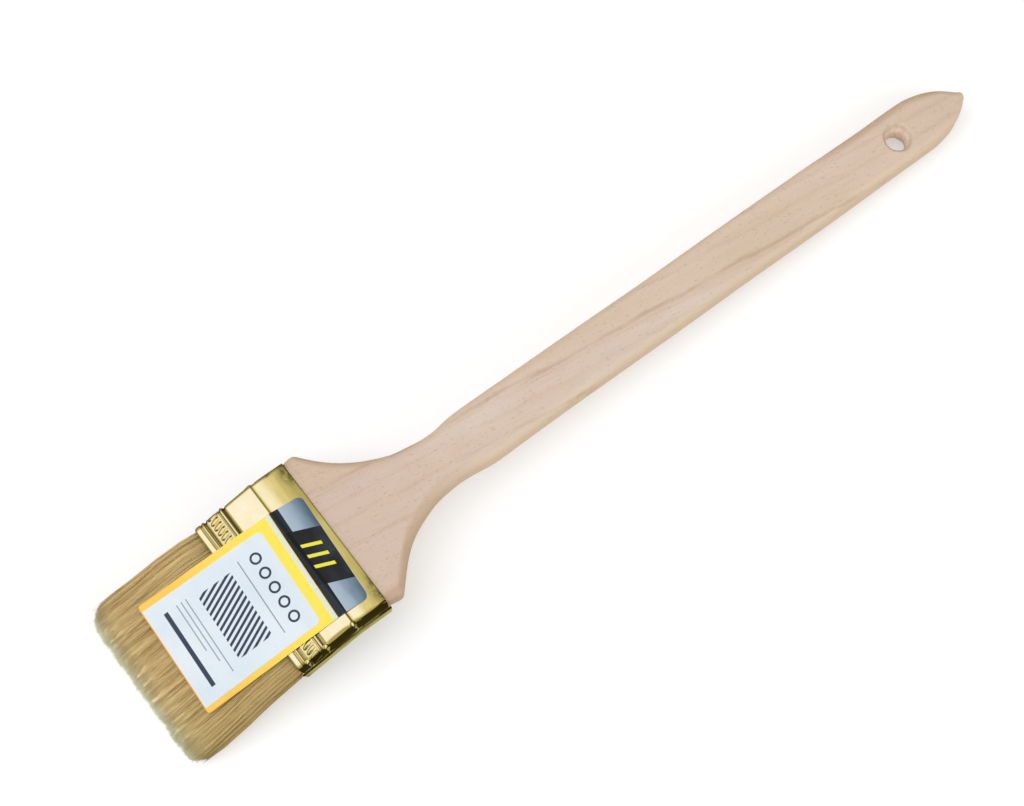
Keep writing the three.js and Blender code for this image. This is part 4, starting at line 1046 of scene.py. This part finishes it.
def build_bristles(side, material, core_material):
    rng = np.random.default_rng(5 if side > 0 else 6)
    share = 1.0
    lo_y = lambda l: np.interp(l, SIDES[:, 0], SIDES[:, 1])
    hi_y = lambda l: np.interp(l, SIDES[:, 0], SIDES[:, 2])
    deep = lambda l: np.interp(l, DEPTH[:, 0], DEPTH[:, 1])
    # f across the width, 0 to 1; q through the thickness of this half, 0 at the middle and 1 at the outside
    n_skin, n_edge, n_fill = int(3400 * share), int(420 * share), int(1500 * share)
    f = np.concatenate([rng.uniform(0.004, 0.996, n_skin),
                        np.where(rng.random(n_edge) < 0.5, rng.beta(1.0, 9.0, n_edge) * 0.09, 1 - rng.beta(1.0, 9.0, n_edge) * 0.09),
                        rng.uniform(0.01, 0.99, n_fill)])
    q = np.concatenate([1 - 0.2 * rng.random(n_skin) ** 1.4, rng.uniform(0.03, 0.97, n_edge), rng.uniform(0.03, 0.85, n_fill)])
    start = np.concatenate([np.full(n_skin + n_edge, ROOT), np.full(n_fill, 55.0)])
    n = len(f)
    # corners of the tuft are rounded in section
    corner = np.maximum(np.abs(f - 0.5) - 0.465, 0) / 0.035
    q = np.minimum(q, 1 - 0.35 * corner ** 2)
    # locks: neighbouring bristles lean together
    lock, lock2 = wavy(rng, 7, 0.35, 1.6), wavy(rng, 7, 1.8, 4.6)
    lift = wavy(rng, 6, 0.5, 2.4)
    tipw, tipf = wavy(rng, 7, 0.15, 0.9), wavy(rng, 7, 1.6, 4.5)
    y0 = -30.6 + 61.2 * f
    lay = y0 + 2.2 * q
    # a trimmed, nearly straight end with a soft fringe
    tip = 75.0 + 0.16 * tipw(y0 + 1.5 * q) + 0.12 * tipf(y0 + 3 * q) + rng.normal(0, 0.34, n) - 0.35 * q ** 2
    short = rng.random(n) < 0.10
    tip = np.where(short, tip - rng.gamma(1.4, 1.3, n), tip)
    e_low = np.interp(f, [0, 0.005, 0.014, 0.027, 0.046, 0.075, 0.12, 1], [69.4, 70.4, 71.9, 73.5, 74.6, 75.3, 76, 76])
    e_high = np.interp(1 - f, [0, 0.004, 0.012, 0.034, 0.066, 0.11, 0.16, 1], [66.4, 67.6, 69.4, 71.8, 73.7, 75.0, 75.8, 76])
    tip = np.minimum(tip, np.minimum(e_low, e_high) + rng.normal(0, 0.3, n) + 0.1)
    tip = np.clip(tip, 60.0, 75.75)
    stray = rng.random(n) < 0.012
    loose = rng.random(n) < 0.14
    bend = rng.normal(0, 0.18, n) + np.where(loose, rng.normal(0, 1.0, n), 0) + np.where(stray, rng.normal(0, 2.6, n), 0)
    wave_a, wave_k, wave_p = rng.uniform(0.04, 0.22, n), rng.uniform(0.10, 0.28, n), rng.uniform(0, 6.28, n)
    thick = rng.uniform(0.075, 0.125, n)
    segs = 5
    t = np.linspace(0, 1, segs + 1) ** 0.9
    L = start[:, None] + (tip - start)[:, None] * t[None, :]
    free = np.clip((L - 24.6) / 51.4, 0, 1)
    low, high = lo_y(L), hi_y(L)
    Y = low + 0.12 + (high - low - 0.24) * f[:, None]
    rim = np.minimum(1, 8 * np.minimum(f, 1 - f))[:, None]
    Y = Y + (0.24 * lock(lay)[:, None] + 0.11 * lock2(lay)[:, None]) * free ** 1.6 * rim
    Y = Y + bend[:, None] * free ** 1.7 + wave_a[:, None] * np.sin(wave_k[:, None] * L + wave_p[:, None]) * (free > 0) * (0.3 + 0.7 * rim)
    Y = np.clip(Y, low + 0.05, high - 0.05)
    Z = deep(L) * (q[:, None] * 0.965)
    Z = Z - (0.16 + 0.07 * lift(lay)[:, None] + 0.06 * lock2(lay + 1)[:, None]) * smoothstep(0.0, 0.25, free) * (q[:, None] > 0.5)
    Z = Z + np.where(stray, 0.18, 0)[:, None] * free
    Z = np.clip(Z, 0.12, deep(L) - 0.06)
    Z = np.maximum(Z, np.interp(L, [22.9, 36], [1.95, 0.25]))
    width = thick[:, None] * np.interp(t, [0, 0.55, 0.85, 1], [1.0, 1.0, 0.8, 0.3])[None, :]
    ang = rng.uniform(0, 6.28, n)
    corners = 3
    P = np.empty((n, segs + 1, corners, 3))
    LAY = np.empty_like(P)
    for c in range(corners):
        a = ang[:, None] + 2 * math.pi * c / corners
        yy, zz = Y + width * np.cos(a), np.clip(Z + width * np.sin(a), 0.02, None)
        P[:, :, c] = from_head(L, yy, side * zz)
        LAY[:, :, c] = np.stack([L, y0[:, None] + 0 * L, (q * 6)[:, None] + 0 * L], -1)
    per = (segs + 1) * corners
    quads = grid_faces(segs + 1, corners, wrap=True)
    offsets = (np.arange(n) * per)[:, None, None]
    faces = (quads[None] + offsets).reshape(-1, 4).tolist()
    faces += ((np.arange(n) * per)[:, None] + np.array([[0, 2, 1]])).tolist()
    faces += ((np.arange(n) * per)[:, None] + np.array([[per - 3, per - 2, per - 1]])).tolist()
    base_tone = rng.normal(0.5, 0.17, n) + 0.05 * lock(lay * 1.3 + 4) + 0.04 * lock2(lay + 9)
    base_tone = np.where(rng.random(n) < 0.06, base_tone - 0.3, base_tone)
    base_tone = np.where(stray | (f > 0.992), 0.9, base_tone)
    tone = np.repeat(np.clip(base_tone, 0, 1), per)
    along = np.repeat(np.clip(L / 76.0, 0, 1), corners, axis=1).ravel()
    points, lays = P.reshape(-1, 3), LAY.reshape(-1, 3)

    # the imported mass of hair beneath, with slight ridges along it
    cl = np.concatenate([np.linspace(ROOT + 0.2, 60, 20), np.linspace(61, 74.2, 13)])
    cols = 120
    g = np.linspace(0, 1, cols)
    rid = 0.06 * lock(g * 61.2 - 30.6) + 0.08 * lock2(g * 61.2 - 30.6)
    rows = []
    for l in cl:
        fr = np.clip((l - 24.6) / 51.4, 0, 1)
        lo = lo_y(l) + 0.45 + np.interp(l, [67, 71, 73, 74.2], [0, 1.0, 2.6, 4.6])
        hi = hi_y(l) - 0.45 - np.interp(l, [64, 69, 71.5, 73, 74.2], [0, 1.0, 2.8, 4.4, 7.0])
        yy = lo + (hi - lo) * g
        body = deep(l) - 0.62 - 0.05 * fr - 0.25 * max(0.0, (l - 68) / 6.2)
        zin = float(np.interp(l, [22.9, 36], [2.0, 0.3]))
        ends = np.sqrt(np.clip(1 - (np.abs(g - 0.5) / 0.5) ** 24, 0, 1))
        zo = zin + (body - zin) * np.maximum(ends, 0.12) + rid * np.minimum(1, ends) * (0.4 + 0.6 * fr)
        sec = np.concatenate([np.stack([yy, zo], -1), np.stack([yy[::-1], np.full(cols, zin)], -1)])
        rows.append(from_head(l, sec[:, 0], side * sec[:, 1]))
    m = 2 * cols
    cp = np.concatenate(rows)
    cf = grid_faces(len(cl), m, wrap=True).tolist()
    cf += [[i, i + 1, m - 2 - i, m - 1 - i] for i in range(cols - 1)]
    e = (len(cl) - 1) * m
    cf += [[e + i + 1, e + i, e + m - 1 - i, e + m - 2 - i] for i in range(cols - 1)]
    clay = np.stack([np.repeat(cl, m), np.tile(np.concatenate([g, g[::-1]]) * 61.2 - 30.6, len(cl)),
                     np.tile(np.concatenate([np.full(cols, 5.0), np.full(cols, 0.0)]), len(cl))], -1)
    ctone = np.tile(np.clip(0.45 + 0.08 * lock2(np.concatenate([g, g[::-1]]) * 61.2 + 3), 0, 1), len(cl))
    calong = np.repeat(cl / 76.0, m)

    total = len(points)
    o = make_object("bristles_front" if side > 0 else "bristles_back", np.concatenate([points, cp]),
                    faces + (np.array(cf) + total).tolist(), material,
                    attributes={"tone": np.concatenate([tone, ctone]), "along": np.concatenate([along, calong])})
    me = o.data
    a = me.attributes.new("lay", "FLOAT_VECTOR", "POINT")
    a.data.foreach_set("vector", np.concatenate([lays, clay]).astype(np.float32).ravel())
    me.materials.append(core_material)
    index = np.zeros(len(me.polygons), np.int32)
    index[len(faces):] = 1
    me.polygons.foreach_set("material_index", index)
    outward(o)
    finish_piece(o, "bristle", "bristle_front" if side > 0 else "bristle_back")
    return o


# ---------------------------------------------------------------- label

def build_label(material):
    # corners of the sheet, stuck on slightly askew: distance above the crease, y
    tl, tr, bl, br = (np.array(p) for p in ((12.3, 17.7), (9.95, -25.65), (-56.7, 23.3), (-58.6, -22.2)))
    T, R_TOP, R_LOW = 0.16, 2.2, 1.4
    ws = np.concatenate([R_TOP * (1 - np.cos(np.linspace(0, math.pi / 2, 10))), np.linspace(R_TOP, 8.6, 12)[1:],
                         np.linspace(8.6, 13.6, 34)[1:], np.linspace(13.6, 20, 14)[1:], np.linspace(20, LABEL_W - R_LOW, 84)[1:],
                         LABEL_W - R_LOW + R_LOW * np.sin(np.linspace(0, math.pi / 2, 8))[1:]])
    cols = 61
    g = np.linspace(-1, 1, cols)
    flat, uvs, local_u = [], [], []
    for w in ws:
        half = LABEL_U / 2
        if w < R_TOP:
            half -= R_TOP - math.sqrt(max(R_TOP ** 2 - (R_TOP - w) ** 2, 0))
        low = w - (LABEL_W - R_LOW)
        if low > 0:
            half -= R_LOW - math.sqrt(max(R_LOW ** 2 - low ** 2, 0))
        u = LABEL_U / 2 + g * half
        a, b = (u / LABEL_U)[:, None], w / LABEL_W
        flat.append((tl * (1 - a) + tr * a) * (1 - b) + (bl * (1 - a) + br * a) * b)
        uvs.append(np.stack([u / 100.0, np.full(cols, w / 100.0)], -1))
        local_u.append(u)
    flat, uv, local_u = np.concatenate(flat), np.concatenate(uvs), np.concatenate(local_u)
    px, py = flat[:, 0], flat[:, 1]
    # height of the underside over the plane of the ferrule, above and below the crease
    ks = np.array([(-64, -0.02), (-60, 0.05), (-40, 0.42), (-24.8, 0.70), (-22.6, 0.74), (-19, 0.70), (-15, 0.72), (-13.4, 0.72),
                   (-12.2, 0.58), (-10.8, 0.36), (-9.0, 0.26), (-2.4, 0.26), (-0.9, 0.38), (0.0, 0.46), (0.9, 0.34), (1.8, 0.24),
                   (15, 0.24), (20, 0.24)])
    h = pchip(ks[:, 0], ks[:, 1], np.clip(px, -63, 19))
    # faint waves of the sheet, and corners that lift slightly
    h = h + 0.035 * np.sin(px * 0.23 + py * 0.11) * (px < -4)
    h = h + smoothstep(-40, -58, px) * 0.28 * smoothstep(12, 20, np.abs(local_u - LABEL_U / 2))

    def surface(extra):
        # turned about the crease by the part of the bend reached so far
        a = BEND * (1 - smoothstep(-1.2, 1.2, px))
        z = h + extra
        return np.stack([px * np.cos(a) - z * np.sin(a), py, px * np.sin(a) + z * np.cos(a) + F], -1)
    n = len(ws) * cols
    points = np.concatenate([surface(T), surface(0.0)])
    faces = grid_faces(len(ws), cols).tolist()
    faces += (grid_faces(len(ws), cols, flip=True) + n).tolist()
    loop = list(range(cols)) + [r * cols + cols - 1 for r in range(1, len(ws))]
    loop += [(len(ws) - 1) * cols + k for k in range(cols - 2, -1, -1)] + [r * cols for r in range(len(ws) - 2, 0, -1)]
    for a, b in zip(loop, loop[1:] + loop[:1]):
        faces.append([a, b, b + n, a + n])
    back = np.concatenate([np.zeros(n), np.ones(n)])
    o = make_object("label_sheet", points, faces, material, attributes={"back": back}, uv=np.concatenate([uv, uv]))
    outward(o)
    o.data.set_sharp_from_angle(angle=math.radians(50))
    finish_piece(o, "printed_sheet", "label")
    return o


# ---------------------------------------------------------------- build
beech = wood_material()
tin = tinplate_material()
hair = bristle_material("hog_bristle", 1.0)
shaded_hair_core = bristle_material("hog_bristle_core_shade", 0.6)
sheet = label_material()

build_handle(beech)
build_ferrule(tin, resin_material())
build_nails(nail_material())
build_bristles(1, hair, shaded_hair_core)
build_bristles(-1, hair, shaded_hair_core)
build_label(sheet)
for node, made in (("spacer_plug", plug_material()),):
    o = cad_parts[node]
    o.data.materials.clear()
    o.data.materials.append(made)


# ---------------------------------------------------------------- surface it lies on
def build_floor():
    m = Nodes("pale_surface")
    at = m.node("ShaderNodeTexCoord").outputs["Object"]
    cloud = m.noise(at, 3.0, 3.0, 0.5)
    # a light table: it glows evenly, so the shadows on it stay faint
    m.set(Base_Color=m.mix(m.range(cloud, 0.3, 0.7), (0.61, 0.61, 0.61), (0.63, 0.63, 0.63)), Roughness=0.9)
    m.shader.inputs["Specular IOR Level"].default_value = 0.1
    m.shader.inputs["Emission Color"].default_value = (1.0, 0.995, 0.985, 1)
    m.shader.inputs["Emission Strength"].default_value = 0.37
    me = bpy.data.meshes.new("floor")
    s = 3.0
    me.from_pydata([(-s, -s, 0), (s, -s, 0), (s, s, 0), (-s, s, 0)], [], [(0, 1, 2, 3)])
    o = bpy.data.objects.new("floor", me)
    bpy.context.scene.collection.objects.link(o)
    me.materials.append(m.material)
    o.visible_glossy = False


build_floor()

# ---------------------------------------------------------------- light
scene = bpy.context.scene
world = bpy.data.worlds.new("studio")
scene.world = world
world.use_nodes = True
wt = world.node_tree
wt.nodes.clear()
w_out = wt.nodes.new("ShaderNodeOutputWorld")
w_bg = wt.nodes.new("ShaderNodeBackground")
w_tex = wt.nodes.new("ShaderNodeTexCoord")
w_dot = wt.nodes.new("ShaderNodeVectorMath")
w_dot.operation = "DOT_PRODUCT"
w_half = wt.nodes.new("ShaderNodeMath")
w_half.operation = "MULTIPLY_ADD"
w_half.inputs[1].default_value, w_half.inputs[2].default_value = 0.5, 0.5
w_ramp = wt.nodes.new("ShaderNodeValToRGB")
wt.links.new(w_tex.outputs["Generated"], w_dot.inputs[0])
toward = np.array([-0.33, 0.20, 0.92])
w_dot.inputs[1].default_value = toward / np.linalg.norm(toward)
wt.links.new(w_dot.outputs["Value"], w_half.inputs[0])
e = w_ramp.color_ramp.elements
stops = [(0.0, (0.55, 0.53, 0.285)), (0.025, (0.45, 0.43, 0.22)), (0.045, (0.13, 0.12, 0.045)), (0.075, (0.035, 0.028, 0.010)),
         (0.50, (0.030, 0.024, 0.008)), (0.60, (0.06, 0.053, 0.022)), (0.68, (0.19, 0.175, 0.09)), (0.76, (0.33, 0.31, 0.18)),
         (0.86, (0.47, 0.45, 0.28)), (0.905, (0.60, 0.565, 0.35)), (0.932, (0.80, 0.745, 0.53)), (0.952, (0.95, 0.92, 0.92)),
         (0.972, (1.04, 1.05, 1.35)), (1.0, (1.06, 1.06, 1.48))]
while len(e) < len(stops):
    e.new(0.5)
for k, (at, v) in zip(e, stops):
    k.position = at
    k.color = (v[0] / 2, v[1] / 2, v[2] / 2, 1)
wt.links.new(w_half.outputs[0], w_ramp.inputs[0])
# a dim reflecting wall on the side of the handle's upper edge
w_side = wt.nodes.new("ShaderNodeVectorMath")
w_side.operation = "DOT_PRODUCT"
wt.links.new(w_tex.outputs["Generated"], w_side.inputs[0])
sideways = np.array([0.08, 0.94, -0.26])
w_side.inputs[1].default_value = sideways / np.linalg.norm(sideways)
w_side_ramp = wt.nodes.new("ShaderNodeValToRGB")
wt.links.new(w_side.outputs["Value"], w_side_ramp.inputs[0])
e = w_side_ramp.color_ramp.elements
e[0].position, e[0].color = 0.62, (0, 0, 0, 1)
e[1].position, e[1].color = 0.95, (0.10, 0.092, 0.045, 1)
w_add = wt.nodes.new("ShaderNodeMix")
w_add.data_type, w_add.blend_type = "RGBA", "ADD"
w_add.inputs[0].default_value = 1.0
wt.links.new(w_ramp.outputs[0], w_add.inputs[6])
wt.links.new(w_side_ramp.outputs[0], w_add.inputs[7])
wt.links.new(w_add.outputs[2], w_bg.inputs[0])
w_bg.inputs[1].default_value = 2.0
wt.links.new(w_bg.outputs[0], w_out.inputs[0])


def soft_light(name, at, target, size, power, color):
    data = bpy.data.lights.new(name, "AREA")
    data.shape = "RECTANGLE"
    data.size, data.size_y = size
    data.energy = power
    data.color = color
    o = bpy.data.objects.new(name, data)
    scene.collection.objects.link(o)
    o.location = at
    o.rotation_mode = "QUATERNION"
    o.rotation_quaternion = (Vector(target) - Vector(at)).to_track_quat("-Z", "Y")
    o.visible_glossy = False
    o.visible_camera = False
    return o


from mathutils import Matrix, Vector
soft_light("overhead_soft", (-0.1, 0.1, 1.5), (0, 0, 0), (1.8, 1.8), 11.8, (0.905, 0.925, 1.0))
soft_light("side_soft", (0.35, -1.2, 0.70), (0, 0, 0), (1.3, 1.3), 13.5, (0.905, 0.925, 1.0))
soft_light("end_soft", (-1.15, 0.55, 0.60), (0, 0, 0), (1.3, 1.3), 9.0, (0.905, 0.925, 1.0))

scene.view_settings.view_transform = "Standard"
scene.view_settings.look = "None"
scene.view_settings.exposure = 0.0
scene.view_settings.gamma = 1.0

# ---------------------------------------------------------------- camera
camera_data = bpy.data.cameras.new("camera")
camera_data.sensor_fit = "HORIZONTAL"
camera_data.sensor_width = 36.0
camera_data.lens = 2200.0 / 1024.0 * 36.0
camera_data.clip_start, camera_data.clip_end = 0.05, 20.0
camera_data.shift_x, camera_data.shift_y = -0.00027, 0.00038
camera = bpy.data.objects.new("camera", camera_data)
scene.collection.objects.link(camera)
scene.camera = camera
right = Vector((0.79413524, -0.60770317, 0.00684212)).normalized()
look = Vector((0.18927199, 0.23660741, -0.95299163)).normalized()
up = right.cross(look)
right = look.cross(up)
camera.matrix_world = Matrix((
    (right.x, up.x, -look.x, -0.1712626382),
    (right.y, up.y, -look.y, -0.18339613058),
    (right.z, up.z, -look.z, 0.76338357251),
    (0, 0, 0, 1)))
